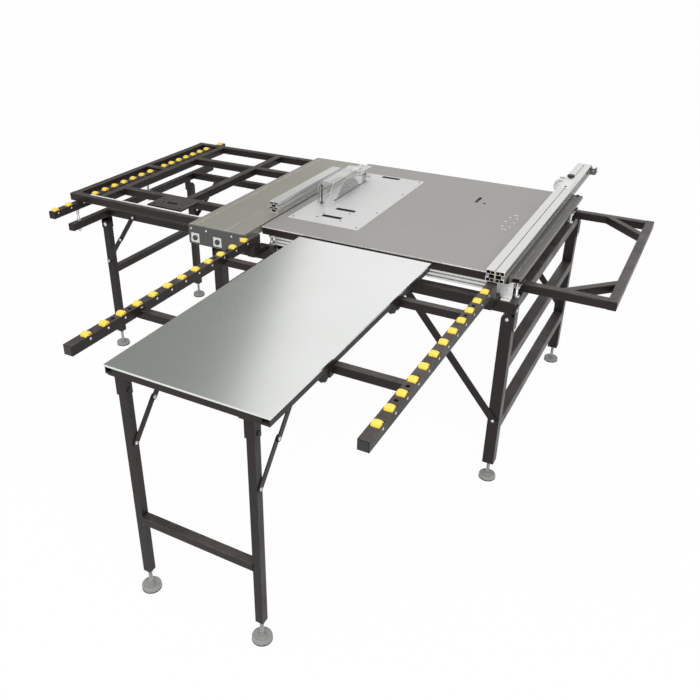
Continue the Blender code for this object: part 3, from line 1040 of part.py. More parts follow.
def build_extension():
    sheet = SHEET_THICKNESS
    lip = (TABLE_HEIGHT - SHEET_LIP, TABLE_HEIGHT)
    across = (extension_left, extension_right)
    along = (extension_front, extension_back)
    top = weld([
        block(across, along, (TABLE_HEIGHT - sheet, TABLE_HEIGHT)),
        block((across[0], across[0] + sheet), along, lip),
        block((across[1] - sheet, across[1]), along, lip),
        block(across, (along[0], along[0] + sheet), lip),
        block(across, (along[1] - sheet, along[1]), lip)])
    node("extension_top", top, "stainless")

    tube = EXTENSION_TUBE
    level = (extension_frame_bottom, extension_frame_top)
    inset = sheet + SEAT_GAP
    left, right = across[0] + inset, across[1] - inset
    front, back = along[0] + inset, along[1] - inset
    stay_y = extension_stay_start[0]
    solids = [
        block((left, left + tube), (front, back), level),
        block((right - tube, right), (front, back), level),
        block((left, right), (front, front + tube), level),
        block((left, right), (back - tube, back), level),
        block((left, right), around(stay_y, tube), level),
    ]
    mouths = []
    for x in (left + tube / 2, right - tube / 2):
        mouths.append(block(around(x, TUBE_MOUTH), (front - CUT_MARGIN, front + TUBE_MOUTH_DEPTH),
                            around(sum(level) / 2, TUBE_MOUTH)))
    plate = EXTENSION_BRACKET_PLATE
    for leg_x in extension_leg_xs:
        half = tube / 2 + SLIDE_GAP
        web = (extension_leg_y - half - plate, extension_leg_y - half)
        cheek_y = (web[0], extension_leg_y + tube / 2)
        bracket_z = (extension_frame_bottom - EXTENSION_BRACKET_DEPTH, extension_frame_bottom + WELD_DEPTH)
        outer = around(leg_x, 2 * (half + plate))
        solids.append(block(outer, web, bracket_z))
        solids.append(block((outer[0], outer[0] + plate), cheek_y, bracket_z))
        solids.append(block((outer[1] - plate, outer[1]), cheek_y, bracket_z))
        solids.append(block(outer, (front, cheek_y[1]),
                            (extension_frame_bottom - plate, extension_frame_bottom + WELD_DEPTH)))
        pin_middle = (extension_leg_y, extension_pivot_z)
        pin_span = (outer[0] - WELD_DEPTH, outer[1] + WELD_DEPTH)
        solids.append(rod("X", pin_middle, pin_span, EXTENSION_PIN_RADIUS, sides=SMALL_ROUND_SIDES))
        for head in ((outer[0] - EXTENSION_PIN_HEAD, outer[0] + WELD_DEPTH),
                     (outer[1] - WELD_DEPTH, outer[1] + EXTENSION_PIN_HEAD)):
            solids.append(rod("X", pin_middle, head, EXTENSION_PIN_HEAD_RADIUS, sides=SMALL_ROUND_SIDES))
        face, lower, upper, ear = extension_stay_planes(leg_x)
        solids.append(block(ear, around(stay_y, LINK_WIDTH),
                            (extension_stay_start[1] - LINK_WIDTH / 2, extension_frame_bottom + WELD_DEPTH)))
        solids.append(rod("X", extension_stay_start, (upper[0], ear[0] + WELD_DEPTH), STAY_PIN_RADIUS,
                          sides=SMALL_ROUND_SIDES))
    for setback in RACK_CROSS_BARS:
        bar_face = rack_back - setback - RACK_CROSS_TUBE / 2 - SLIDE_GAP
        clamp_z = (extension_frame_bottom - RACK_CLAMP_DEPTH, extension_frame_bottom + WELD_DEPTH)
        clamp_y = (bar_face - RACK_CLAMP_WIDTH, bar_face)
        knob_z = extension_frame_bottom - RACK_CLAMP_DEPTH / 2
        clamp_x = right - tube / 2
        solids.append(block((right - tube, right), clamp_y, clamp_z))
        solids.append(rod("Y", (clamp_x, knob_z), (clamp_y[0] - RACK_CLAMP_STEM, clamp_y[0] + WELD_DEPTH),
                          KNOB_STEM_RADIUS, sides=SMALL_ROUND_SIDES))
        solids.append(rod("Y", (clamp_x, knob_z),
                          (clamp_y[0] - RACK_CLAMP_STEM, clamp_y[0] - RACK_CLAMP_STEM + CLAMP_KNOB),
                          KNOB_RADIUS, sides=SMALL_ROUND_SIDES))
    node("extension_frame", weld(solids, mouths), "dark paint")

    solids = []
    bores = []
    for leg_x in extension_leg_xs:
        solids += rounded_leg("X", leg_x, extension_leg_y, tube, extension_pivot_z)
        solids += foot(leg_x, extension_leg_y)
        bores.append(rod("X", (extension_leg_y, extension_pivot_z), around(leg_x, 2 * tube),
                         EXTENSION_PIN_RADIUS + PIN_PLAY, sides=SMALL_ROUND_SIDES))
        face, lower, upper, ear = extension_stay_planes(leg_x)
        solids.append(rod("X", extension_stay_end, (face - WELD_DEPTH, lower[1]), STAY_PIN_RADIUS,
                          sides=SMALL_ROUND_SIDES))
    solids.append(block((extension_leg_xs[0], extension_leg_xs[1]), around(extension_leg_y, tube),
                        around(EXTENSION_CROSSBAR_HEIGHT, EXTENSION_CROSSBAR)))
    node("extension_legs", weld(solids, bores), "dark paint",
         (extension_leg_xs[0], extension_leg_y, extension_pivot_z))

    knuckle = stay_knuckle(extension_stay_start, extension_stay_end, EXTENSION_STAY_SHARE)
    for side, leg_x in zip(("left", "right"), extension_leg_xs):
        face, lower, upper, ear = extension_stay_planes(leg_x)
        for part, plane, pin in (("upper", upper, extension_stay_start), ("lower", lower, extension_stay_end)):
            link = weld(
                [flat_link("X", pin, knuckle, LINK_WIDTH, plane)],
                [rod("X", pin, around(face, 4 * CUT_MARGIN), STAY_PIN_RADIUS + PIN_PLAY,
                     sides=SMALL_ROUND_SIDES)])
            node(f"extension_stay_{side}_{part}", link, "dark paint", (face, pin[0], pin[1]))


# Right support frame
def build_support_frame():
    level = (support_bottom, support_top)
    tube = SUPPORT_TUBE
    arm_left = base_right - BASE_TUBE
    seat = (base_top + SEAT_GAP, support_bottom + WELD_DEPTH)
    solids = [block((support_right - tube, support_right), (SUPPORT_FRONT, support_back), level)]
    corner_x = support_right - tube / 2
    for face, inward in ((SUPPORT_FRONT, 1), (support_back, -1)):
        arm = sorted((face, face + inward * tube))
        solids.append(block((arm_left, support_right), arm, level))
        solids.append(block((arm_left, base_right), arm, seat))
        arm_middle = face + inward * tube / 2
        reach = SUPPORT_BRACE_REACH
        brace_middle = (corner_x - reach / 2, arm_middle + inward * reach / 2)
        length = reach * math.sqrt(2.0)
        solids.append(block(around(brace_middle[0], length), around(brace_middle[1], SUPPORT_BRACE_WIDTH),
                            level, turn=inward * math.pi / 4))
    node("support_frame", weld(solids), "dark paint")


build_main_table()
build_saw()
build_base()
build_leg_pair("right_legs", right_leg_x)
build_leg_pair("left_legs", left_leg_x)
build_braces()
build_sliding_table()
build_crosscut_fence()
build_outrigger()
build_outrigger_rail()
build_roller_rack()
build_stand()
build_fence()
build_extension()
build_support_frame()
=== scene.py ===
import json
import math

import bmesh
import bpy
from mathutils import Matrix, Vector


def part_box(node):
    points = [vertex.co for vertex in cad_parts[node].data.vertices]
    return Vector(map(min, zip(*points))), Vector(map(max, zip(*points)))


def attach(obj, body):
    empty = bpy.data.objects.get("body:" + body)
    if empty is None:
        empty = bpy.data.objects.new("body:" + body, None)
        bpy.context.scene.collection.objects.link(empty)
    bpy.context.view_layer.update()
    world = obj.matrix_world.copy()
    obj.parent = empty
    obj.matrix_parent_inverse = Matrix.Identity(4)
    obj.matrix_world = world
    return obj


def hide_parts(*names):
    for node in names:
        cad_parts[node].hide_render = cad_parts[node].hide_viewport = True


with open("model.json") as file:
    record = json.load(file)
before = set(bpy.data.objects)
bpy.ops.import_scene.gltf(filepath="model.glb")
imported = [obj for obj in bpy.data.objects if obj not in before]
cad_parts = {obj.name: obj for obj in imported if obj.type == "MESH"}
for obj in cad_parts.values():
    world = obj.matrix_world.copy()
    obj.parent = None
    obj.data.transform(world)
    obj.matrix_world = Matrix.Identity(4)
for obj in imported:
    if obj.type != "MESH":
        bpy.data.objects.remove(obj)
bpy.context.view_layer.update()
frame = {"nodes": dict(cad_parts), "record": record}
nodeBody = {name: body for body, names in frame["record"]["behaviour"]["bodies"].items() for name in names}
# the drawing starts at the main table's front left corner, on the floor
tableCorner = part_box("table_plate")[0]
benchShift = Vector((tableCorner.x, tableCorner.y, 0.0))


# shader groups that several finishes share
def newGroup(name, inputs, outputs):
    # the group, the coordinates that it reads, and its two ends
    group = bpy.data.node_groups.new(name, "ShaderNodeTree")
    for label, kind, value in inputs:
        group.interface.new_socket(label, in_out="INPUT", socket_type=kind).default_value = value
    for label in outputs:
        group.interface.new_socket(label, in_out="OUTPUT", socket_type="NodeSocketFloat")
    place = group.nodes.new("ShaderNodeTexCoord")
    entry = group.nodes.new("NodeGroupInput")
    leave = group.nodes.new("NodeGroupOutput")
    return group, place.outputs, entry.outputs, leave.inputs


def feed(tree, socket, value):
    # numbers and colours are set on the socket, anything else is linked to it
    if isinstance(value, bpy.types.NodeSocket):
        tree.links.new(value, socket)
    else:
        socket.default_value = (*value, 1.0) if isinstance(value, tuple) else value


def noiseNode(tree, vector, scale, detail, roughness):
    noise = tree.nodes.new("ShaderNodeTexNoise")
    for label, value in (("Vector", vector), ("Scale", scale), ("Detail", detail), ("Roughness", roughness)):
        feed(tree, noise.inputs[label], value)
    return noise.outputs["Fac"]


def mathNode(tree, operation, first, second, clamp=False):
    step = tree.nodes.new("ShaderNodeMath")
    step.operation = operation
    step.use_clamp = clamp
    feed(tree, step.inputs[0], first)
    feed(tree, step.inputs[1], second)
    return step.outputs[0]


def rangeNode(tree, value, source, target=(0.0, 1.0)):
    # spreads one span of values over another
    spread = tree.nodes.new("ShaderNodeMapRange")
    for label, number in zip(("From Min", "From Max", "To Min", "To Max"), (*source, *target)):
        spread.inputs[label].default_value = number
    tree.links.new(value, spread.inputs["Value"])
    return spread.outputs["Result"]


def stretchedPlace(group, place, stretch, turn=0.0):
    mapping = group.nodes.new("ShaderNodeMapping")
    mapping.inputs["Rotation"].default_value = (0.0, 0.0, turn)
    group.links.new(place["Object"], mapping.inputs["Vector"])
    group.links.new(stretch, mapping.inputs["Scale"])
    return mapping.outputs["Vector"]


def brushedGrain():
    # fine drawn lines and a slow drift; Stretch gives the lines' direction
    group, place, entry, leave = newGroup(
        "brushedGrain", [("Stretch", "NodeSocketVector", (900.0, 6.0, 900.0))], ["Lines", "Drift"])
    along = stretchedPlace(group, place, entry["Stretch"])
    group.links.new(noiseNode(group, along, scale=1.0, detail=3.0, roughness=0.6), leave["Lines"])
    group.links.new(noiseNode(group, place["Object"], scale=3.0, detail=3.0, roughness=0.55), leave["Drift"])
    return group


def paintSkin():
    # slow mottling and the fine peel of sprayed paint
    group, place, entry, leave = newGroup(
        "paintSkin", [("Peel Scale", "NodeSocketFloat", 420.0)], ["Mottle", "Peel"])
    group.links.new(noiseNode(group, place["Object"], scale=9.0, detail=4.0, roughness=0.6), leave["Mottle"])
    peel = noiseNode(group, place["Object"], entry["Peel Scale"], detail=2.0, roughness=0.5)
    group.links.new(peel, leave["Peel"])
    return group


def dustAndLitTops():
    # thin dust on faces that look up, with painted light on those upward faces as if lit from above
    group, place, entry, leave = newGroup("dustAndLitTops", [("Amount", "NodeSocketFloat", 0.3)], ["Mask"])
    sides = group.nodes.new("ShaderNodeSeparateXYZ")
    group.links.new(place["Normal"], sides.inputs["Vector"])
    upward = rangeNode(group, sides.outputs["Z"], (0.55, 1.0))
    cloud = noiseNode(group, place["Object"], scale=14.0, detail=5.0, roughness=0.65)
    dustAndTopLight = mathNode(group, "MULTIPLY", upward, rangeNode(group, cloud, (0.35, 0.7), (0.35, 1.0)))
    group.links.new(mathNode(group, "MULTIPLY", dustAndTopLight, entry["Amount"], True), leave["Mask"])
    return group


def edgeWearAndHighlight():
    # rubbed corners and painted edge highlights, on the faces that the rounding marked
    group, place, entry, leave = newGroup("edgeWearAndHighlight", [("Amount", "NodeSocketFloat", 0.5)], ["Mask"])
    marked = group.nodes.new("ShaderNodeAttribute")
    marked.attribute_name = "edge"
    cloud = noiseNode(group, place["Object"], scale=32.0, detail=5.0, roughness=0.7)
    rubbedAndLit = mathNode(group, "MULTIPLY", marked.outputs["Fac"], rangeNode(group, cloud, (0.42, 0.66), (0.15, 1.0)))
    group.links.new(mathNode(group, "MULTIPLY", rubbedAndLit, entry["Amount"], True), leave["Mask"])
    return group


def scuffMarks():
    # faint slanting scratches and smudges from work being pushed over a surface
    group, place, entry, leave = newGroup(
        "scuffMarks", [("Stretch", "NodeSocketVector", (40.0, 3.0, 40.0))], ["Mask"])
    slant = stretchedPlace(group, place, entry["Stretch"], turn=0.25)
    streaks = rangeNode(group, noiseNode(group, slant, scale=1.0, detail=6.0, roughness=0.75), (0.58, 0.72))
    cloud = noiseNode(group, place["Object"], scale=5.0, detail=4.0, roughness=0.6)
    smudges = rangeNode(group, cloud, (0.45, 0.7))
    group.links.new(mathNode(group, "MULTIPLY", streaks, smudges, True), leave["Mask"])
    return group


groups = {maker.__name__: maker() for maker in (brushedGrain, paintSkin, dustAndLitTops, edgeWearAndHighlight, scuffMarks)}
print("shader groups:", len(groups))

# finishes
noiseSpan = (0.3, 0.7)   # where most of a noise's values lie
driftSpan = (0.35, 0.7)
wholeSpan = (0.0, 1.0)
paintSpread = (-0.07, 0.1)   # what the mottling takes from and adds to a paint's roughness
scuffedGuard = 0.25   # roughness that scuffs add to clear plastic
peelHeight, grainHeight = 0.0004, 0.0002


def placeGroup(tree, name, **values):
    used = tree.nodes.new("ShaderNodeGroup")
    used.node_tree = groups[name]
    for label, value in values.items():
        used.inputs[label.replace("_", " ")].default_value = value
    return used.outputs


def startFinish(name, colour, metallic, roughness, **others):
    material = bpy.data.materials.new(name)
    material.use_nodes = True
    shader = material.node_tree.nodes["Principled BSDF"]
    shader.inputs["Base Color"].default_value = (*colour, 1.0)
    shader.inputs["Metallic"].default_value = metallic
    shader.inputs["Roughness"].default_value = roughness
    for label, value in others.items():
        shader.inputs[label.replace("_", " ")].default_value = value
    return material, material.node_tree, shader


def mixColours(tree, mask, first, second):
    mix = tree.nodes.new("ShaderNodeMix")
    mix.data_type = "RGBA"
    tree.links.new(mask, mix.inputs[0])
    feed(tree, mix.inputs[6], first)
    feed(tree, mix.inputs[7], second)
    return mix.outputs[2]


def bumpFrom(tree, shader, height, strength, distance):
    bump = tree.nodes.new("ShaderNodeBump")
    bump.inputs["Strength"].default_value = strength
    bump.inputs["Distance"].default_value = distance
    tree.links.new(height, bump.inputs["Height"])
    tree.links.new(bump.outputs["Normal"], shader.inputs["Normal"])


def paintFinish(name, look):
    material, tree, shader = startFinish(name, look["colour"], 0.0, look["roughness"],
                                         Specular_IOR_Level=look["gloss"])
    skin = placeGroup(tree, "paintSkin", Peel_Scale=look["peel"])
    dustAndTopLight = placeGroup(tree, "dustAndLitTops", Amount=look["dustAndTopLight"])
    wearAndHighlight = placeGroup(tree, "edgeWearAndHighlight", Amount=look["wearAndHighlight"])
    colour = mixColours(tree, skin["Mottle"], look["colour"], look["shade"])
    colour = mixColours(tree, dustAndTopLight["Mask"], colour, look["dustAndTopLightColour"])
    colour = mixColours(tree, wearAndHighlight["Mask"], colour, look["wearAndHighlightColour"])
    tree.links.new(colour, shader.inputs["Base Color"])
    spread = [look["roughness"] + change for change in paintSpread]
    tree.links.new(rangeNode(tree, skin["Mottle"], noiseSpan, spread), shader.inputs["Roughness"])
    bumpFrom(tree, shader, skin["Peel"], look["bump"], peelHeight)
    return material


def metalFinish(name, look):
    material, tree, shader = startFinish(name, look["colour"], look["metallic"], look["roughness"])
    grain = placeGroup(tree, "brushedGrain", Stretch=look["stretch"])
    scuff = placeGroup(tree, "scuffMarks", Stretch=look["scuffStretch"])
    wearAndHighlight = placeGroup(tree, "edgeWearAndHighlight", Amount=look["wearAndHighlight"])
    drift = rangeNode(tree, grain["Drift"], driftSpan, (0.0, look["drift"]))
    scuffed = rangeNode(tree, scuff["Mask"], wholeSpan, (0.0, look["scuff"]))
    colour = mixColours(tree, grain["Lines"], look["colour"], look["shade"])
    colour = mixColours(tree, drift, colour, look["driftColour"])
    colour = mixColours(tree, scuffed, colour, look["scuffColour"])
    colour = mixColours(tree, wearAndHighlight["Mask"], colour, look["wearAndHighlightColour"])
    tree.links.new(colour, shader.inputs["Base Color"])
    spread = (look["roughness"] - look["spread"], look["roughness"] + look["spread"])
    tree.links.new(rangeNode(tree, grain["Lines"], noiseSpan, spread), shader.inputs["Roughness"])
    bumpFrom(tree, shader, grain["Lines"], look["bump"], grainHeight)
    return material


def glassFinish(name, look):
    material, tree, shader = startFinish(name, look["colour"], 0.0, look["roughness"],
                                         Transmission_Weight=1.0, IOR=look["ior"], Coat_Weight=look["coat"])
    scuff = placeGroup(tree, "scuffMarks", Stretch=look["scuffStretch"])
    spread = (look["roughness"], look["roughness"] + scuffedGuard)
    tree.links.new(rangeNode(tree, scuff["Mask"], wholeSpan, spread), shader.inputs["Roughness"])
    wearAndHighlight = placeGroup(tree, "edgeWearAndHighlight", Amount=look["wearAndHighlight"])
    colour = mixColours(tree, wearAndHighlight["Mask"], look["colour"], look["edgeColour"])
    tree.links.new(colour, shader.inputs["Base Color"])
    return material


# dark paint; the much lighter colour on its upward faces is mostly painted top light, and its lighter edges are painted
# highlights
darkPaintLook = {
    "colour": (0.0180, 0.0130, 0.0127), "shade": (0.0235, 0.0176, 0.0171), "roughness": 0.37, "gloss": 0.22,
    "peel": 420.0, "bump": 0.16, "dustAndTopLight": 0.85, "dustAndTopLightColour": (0.098, 0.086, 0.081),
    "wearAndHighlight": 0.32, "wearAndHighlightColour": (0.16, 0.145, 0.14),
}
blackPlasticLook = {
    "colour": (0.018, 0.018, 0.019), "shade": (0.026, 0.025, 0.026), "roughness": 0.48, "gloss": 0.5,
    "peel": 900.0, "bump": 0.22, "dustAndTopLight": 0.2, "dustAndTopLightColour": (0.08, 0.078, 0.075),
    "wearAndHighlight": 0.3, "wearAndHighlightColour": (0.07, 0.07, 0.07),
}
yellowLook = {
    "colour": (0.98, 0.735, 0.100), "shade": (0.95, 0.64, 0.062), "roughness": 0.42, "gloss": 0.5,
    "peel": 700.0, "bump": 0.08, "dustAndTopLight": 0.12, "dustAndTopLightColour": (0.95, 0.80, 0.42),
    "wearAndHighlight": 0.35, "wearAndHighlightColour": (0.95, 0.76, 0.30),
}
whiteNylonLook = {
    "colour": (0.86, 0.86, 0.85), "shade": (0.80, 0.80, 0.79), "roughness": 0.40, "gloss": 0.5,
    "peel": 700.0, "bump": 0.06, "dustAndTopLight": 0.1, "dustAndTopLightColour": (0.70, 0.69, 0.67),
    "wearAndHighlight": 0.2, "wearAndHighlightColour": (0.92, 0.92, 0.92),
}
footPadLook = {
    "colour": (0.33, 0.327, 0.322), "shade": (0.27, 0.267, 0.263), "roughness": 0.45, "gloss": 0.5,
    "peel": 600.0, "bump": 0.12, "dustAndTopLight": 0.2, "dustAndTopLightColour": (0.38, 0.376, 0.368),
    "wearAndHighlight": 0.6, "wearAndHighlightColour": (0.62, 0.62, 0.61),
}
motorLook = dict(blackPlasticLook, colour=(0.035, 0.035, 0.037), shade=(0.05, 0.05, 0.052), bump=0.3, peel=500.0)
castGreyLook = dict(darkPaintLook, colour=(0.075, 0.077, 0.072), shade=(0.095, 0.097, 0.092),
                    dustAndTopLightColour=(0.2, 0.2, 0.19), wearAndHighlightColour=(0.36, 0.36, 0.35))
# pale plastic for painted highlights along the clear guard's edges
guardEdgeHighlightLook = dict(whiteNylonLook, colour=(0.80, 0.84, 0.83), shade=(0.74, 0.79, 0.78), roughness=0.15)

tableSteelLook = {
    "colour": (0.315, 0.298, 0.289), "shade": (0.340, 0.322, 0.312), "metallic": 0.25, "roughness": 0.46,
    "stretch": (420.0, 5.0, 420.0), "spread": 0.05, "bump": 0.05,
    "drift": 0.5, "driftColour": (0.352, 0.342, 0.330),
    "scuff": 0.5, "scuffColour": (0.235, 0.222, 0.214), "scuffStretch": (36.0, 4.0, 36.0),
    "wearAndHighlight": 0.9, "wearAndHighlightColour": (0.80, 0.79, 0.77),
}
insertLook = {
    "colour": (0.645, 0.642, 0.638), "shade": (0.685, 0.682, 0.678), "metallic": 0.25, "roughness": 0.42,
    "stretch": (5.0, 420.0, 420.0), "spread": 0.05, "bump": 0.04,
    "drift": 0.4, "driftColour": (0.59, 0.593, 0.59),
    "scuff": 0.3, "scuffColour": (0.5, 0.5, 0.49), "scuffStretch": (4.0, 36.0, 36.0),
    "wearAndHighlight": 0.7, "wearAndHighlightColour": (0.85, 0.85, 0.84),
}
stainlessLook = {
    "colour": (0.80, 0.812, 0.80), "shade": (0.85, 0.86, 0.85), "metallic": 1.0, "roughness": 0.21,
    "stretch": (2400.0, 4.0, 2400.0), "spread": 0.03, "bump": 0.012,
    "drift": 0.3, "driftColour": (0.72, 0.735, 0.72),
    "scuff": 0.12, "scuffColour": (0.6, 0.61, 0.6), "scuffStretch": (30.0, 2.0, 30.0),
    "wearAndHighlight": 0.8, "wearAndHighlightColour": (0.9, 0.9, 0.89),
}
deckLook = {
    "colour": (0.315, 0.306, 0.262), "shade": (0.345, 0.336, 0.288), "metallic": 0.35, "roughness": 0.44,
    "stretch": (520.0, 3.0, 520.0), "spread": 0.05, "bump": 0.05,
    "drift": 0.45, "driftColour": (0.385, 0.377, 0.333),
    "scuff": 0.25, "scuffColour": (0.25, 0.243, 0.215), "scuffStretch": (30.0, 3.0, 30.0),
    "wearAndHighlight": 0.85, "wearAndHighlightColour": (0.74, 0.73, 0.68),
}
fenceLook = {
    "colour": (0.75, 0.75, 0.74), "shade": (0.70, 0.705, 0.695), "metallic": 0.75, "roughness": 0.36,
    "stretch": (600.0, 2.5, 600.0), "spread": 0.05, "bump": 0.05,
    "drift": 0.3, "driftColour": (0.63, 0.635, 0.62),
    "scuff": 0.08, "scuffColour": (0.5, 0.5, 0.49), "scuffStretch": (40.0, 3.0, 40.0),
    "wearAndHighlight": 0.6, "wearAndHighlightColour": (0.9, 0.9, 0.9),
}
# painted shade for the upright sides of the fences
fenceShadedSideLook = dict(fenceLook, colour=(0.20, 0.203, 0.188), shade=(0.235, 0.238, 0.222),
                     driftColour=(0.17, 0.173, 0.16), scuff=0.15, wearAndHighlight=0.8)
stripLook = dict(deckLook, colour=(0.125, 0.119, 0.108), shade=(0.146, 0.140, 0.128),
                 driftColour=(0.165, 0.159, 0.146), scuff=0.08, wearAndHighlightColour=(0.66, 0.65, 0.61))
railLook = dict(fenceLook, stretch=(2.5, 600.0, 600.0), scuffStretch=(3.0, 40.0, 40.0))
zincLook = dict(fenceLook, colour=(0.74, 0.745, 0.75), shade=(0.66, 0.665, 0.67), metallic=0.9, roughness=0.30,
                stretch=(120.0, 120.0, 120.0), bump=0.08)
bracketLook = dict(railLook, colour=(0.90, 0.90, 0.89), shade=(0.84, 0.845, 0.835),
                   driftColour=(0.86, 0.865, 0.85), metallic=0.15)
stemLook = dict(zincLook, colour=(0.40, 0.40, 0.395), shade=(0.33, 0.33, 0.326), roughness=0.38)
bladeLook = dict(stainlessLook, colour=(0.30, 0.305, 0.30), shade=(0.36, 0.365, 0.36),
                 driftColour=(0.27, 0.275, 0.27), stretch=(500.0, 60.0, 60.0))
guardLook = {
    "colour": (0.975, 0.985, 0.98), "edgeColour": (0.86, 0.92, 0.91), "roughness": 0.02, "ior": 1.22, "coat": 0.8,
    "scuffStretch": (60.0, 6.0, 60.0), "wearAndHighlight": 0.8,
}

darkPaint = paintFinish("darkPaint", darkPaintLook)
blackPlastic = paintFinish("blackPlastic", blackPlasticLook)
yellowPlastic = paintFinish("yellowPlastic", yellowLook)
whiteNylon = paintFinish("whiteNylon", whiteNylonLook)
guardEdgeHighlight = paintFinish("guardEdgeHighlight", guardEdgeHighlightLook)
footPad = paintFinish("footPad", footPadLook)
motorPaint = paintFinish("motorPaint", motorLook)
castGrey = paintFinish("castGrey", castGreyLook)
tableSteel = metalFinish("tableSteel", tableSteelLook)
insertSteel = metalFinish("insertSteel", insertLook)
stainless = metalFinish("stainless", stainlessLook)
deckAluminium = metalFinish("deckAluminium", deckLook)
fenceAluminium = metalFinish("fenceAluminium", fenceLook)
fenceShadedSide = metalFinish("fenceShadedSide", fenceShadedSideLook)
stripAluminium = metalFinish("stripAluminium", stripLook)
railAluminium = metalFinish("railAluminium", railLook)
zinc = metalFinish("zinc", zincLook)
stemSteel = metalFinish("stemSteel", stemLook)
bracketWhite = metalFinish("bracketWhite", bracketLook)
bladeSteel = metalFinish("bladeSteel", bladeLook)
clearGuard = glassFinish("clearGuard", guardLook)
print("finishes:", len(bpy.data.materials))

# shapes; each starts with the face mark that the rubbed corners and painted edge highlights use
facings = {
    "+x": Matrix.Rotation(math.pi / 2, 4, "Y"), "-x": Matrix.Rotation(-math.pi / 2, 4, "Y"),
    "+y": Matrix.Rotation(-math.pi / 2, 4, "X"), "-y": Matrix.Rotation(math.pi / 2, 4, "X"),
    "+z": Matrix.Identity(4),
}
tubeSkin = {"soft": 0.0028, "wall": 0.002, "plugEdge": 0.0005, "plugSink": 0.0012}
legSkin = {"soft": 0.0026, "headShare": 0.499, "headSteps": 10, "least": 50.0}
weld = 1e-6   # corners nearer than this are one
rimReach, rimHighlight = 0.0015, 4.0   # a sheet's cut edge: how far in, and how bright its painted highlight is


def newShape():
    shape = bmesh.new()
    shape.faces.layers.float.new("edge")
    return shape


def addInto(piece, shape, place=None):
    if place is not None:
        bmesh.ops.transform(shape, matrix=place, verts=shape.verts)
    mesh = bpy.data.meshes.new("loose")
    shape.to_mesh(mesh)
    shape.free()
    piece.from_mesh(mesh)
    bpy.data.meshes.remove(mesh)


def standAt(at, facing):
    return Matrix.Translation(at) @ facings[facing]


def aroundRing(count, across, up):
    # places evenly round a ring
    turns = [2 * math.pi * index / count for index in range(count)]
    return [(across * math.cos(turn), up * math.sin(turn)) for turn in turns]


def roundEdges(shape, edges, offset, segments):
    made = bmesh.ops.bevel(shape, geom=edges, offset=offset, offset_type="OFFSET", affect="EDGES", segments=segments,
                           profile=0.5, material=-1, clamp_overlap=True)
    mark = shape.faces.layers.float["edge"]
    for face in made["faces"]:
        face[mark] = 1.0


def roundSharp(shape, offset, segments=2, least=35.0):
    limit = math.radians(least)
    sharp = [edge for edge in shape.edges if edge.is_manifold and edge.calc_face_angle(0.0) > limit]
    roundEdges(shape, sharp, offset, segments)


def block(size):
    # a plain block about its middle
    shape = newShape()
    bmesh.ops.create_cube(shape, size=1.0)
    bmesh.ops.scale(shape, vec=size, verts=shape.verts)
    return shape


def plainBox(x, y, z):
    shape = block((x[1] - x[0], y[1] - y[0], z[1] - z[0]))
    bmesh.ops.translate(shape, vec=(sum(x) / 2, sum(y) / 2, sum(z) / 2), verts=shape.verts)
    return shape


def boxInto(piece, x, y, z, soft=0.001, segments=2):
    shape = plainBox(x, y, z)
    roundSharp(shape, soft, segments)
    addInto(piece, shape)


def edgesAlong(shape, axis):
    return [edge for edge in shape.edges if abs(edge.verts[0].co[axis] - edge.verts[1].co[axis]) > weld]


def tubeInto(piece, start, end, width, height=None, soft=tubeSkin["soft"], ends=("plain", "plain")):
    # a square tube from start to end, its corners rounded; an end is plain or closed by a cap
    run = Vector(end) - Vector(start)
    shape = block((width, height or width, run.length))
    roundEdges(shape, edgesAlong(shape, 2), soft, 3)
    shape.normal_update()
    for side, kind in zip((-1.0, 1.0), ends):
        if kind == "cap":
            cap = max(shape.faces, key=lambda face: face.normal.z * side)
            bmesh.ops.inset_individual(shape, faces=[cap], thickness=tubeSkin["wall"])
            bmesh.ops.inset_individual(shape, faces=[cap], thickness=tubeSkin["plugEdge"], depth=-tubeSkin["plugSink"])
    turn = run.to_track_quat("Z", "Y").to_matrix().to_4x4()
    addInto(piece, shape, Matrix.Translation((Vector(start) + Vector(end)) / 2) @ turn)


def legInto(piece, x, y, low, pivot, size, foldAxis):
    # a square leg whose head is round about its fold axis
    half = size / 2
    shape = plainBox((x - half, x + half), (y - half, y + half), (low, pivot + half))
    head = [edge for edge in edgesAlong(shape, "xyz".index(foldAxis))
            if min(vert.co.z for vert in edge.verts) > pivot]
    bmesh.ops.bevel(shape, geom=head, offset=size * legSkin["headShare"], offset_type="OFFSET", affect="EDGES",
                    segments=legSkin["headSteps"], profile=0.5, material=-1, clamp_overlap=True)
    roundSharp(shape, legSkin["soft"], 3, legSkin["least"])
    addInto(piece, shape)


def turned(profile, steps=24, closed=False):
    # radius and height points, spun about the upright axis
    shape = newShape()
    points = [shape.verts.new((radius, 0.0, height)) for radius, height in profile]
    lines = [shape.edges.new(pair) for pair in zip(points, points[1:] + (points[:1] if closed else []))]
    bmesh.ops.spin(shape, geom=points + lines, cent=(0.0, 0.0, 0.0), axis=(0.0, 0.0, 1.0), angle=2 * math.pi,
                   steps=steps, use_merge=True)
    bmesh.ops.remove_doubles(shape, verts=shape.verts, dist=weld)
    bmesh.ops.recalc_face_normals(shape, faces=shape.faces)
    return shape


def rod(radius, length, steps):
    return turned([(0.0, 0.0), (radius, 0.0), (radius, length), (0.0, length)], steps)


def ring(half, profile, steps):
    # a bored ring from the radius and depth points of one end; the other end mirrors them
    lower = [(radius, depth - half) for radius, depth in profile]
    upper = [(radius, half - depth) for radius, depth in reversed(profile)]
    return turned(lower + upper, steps, True)


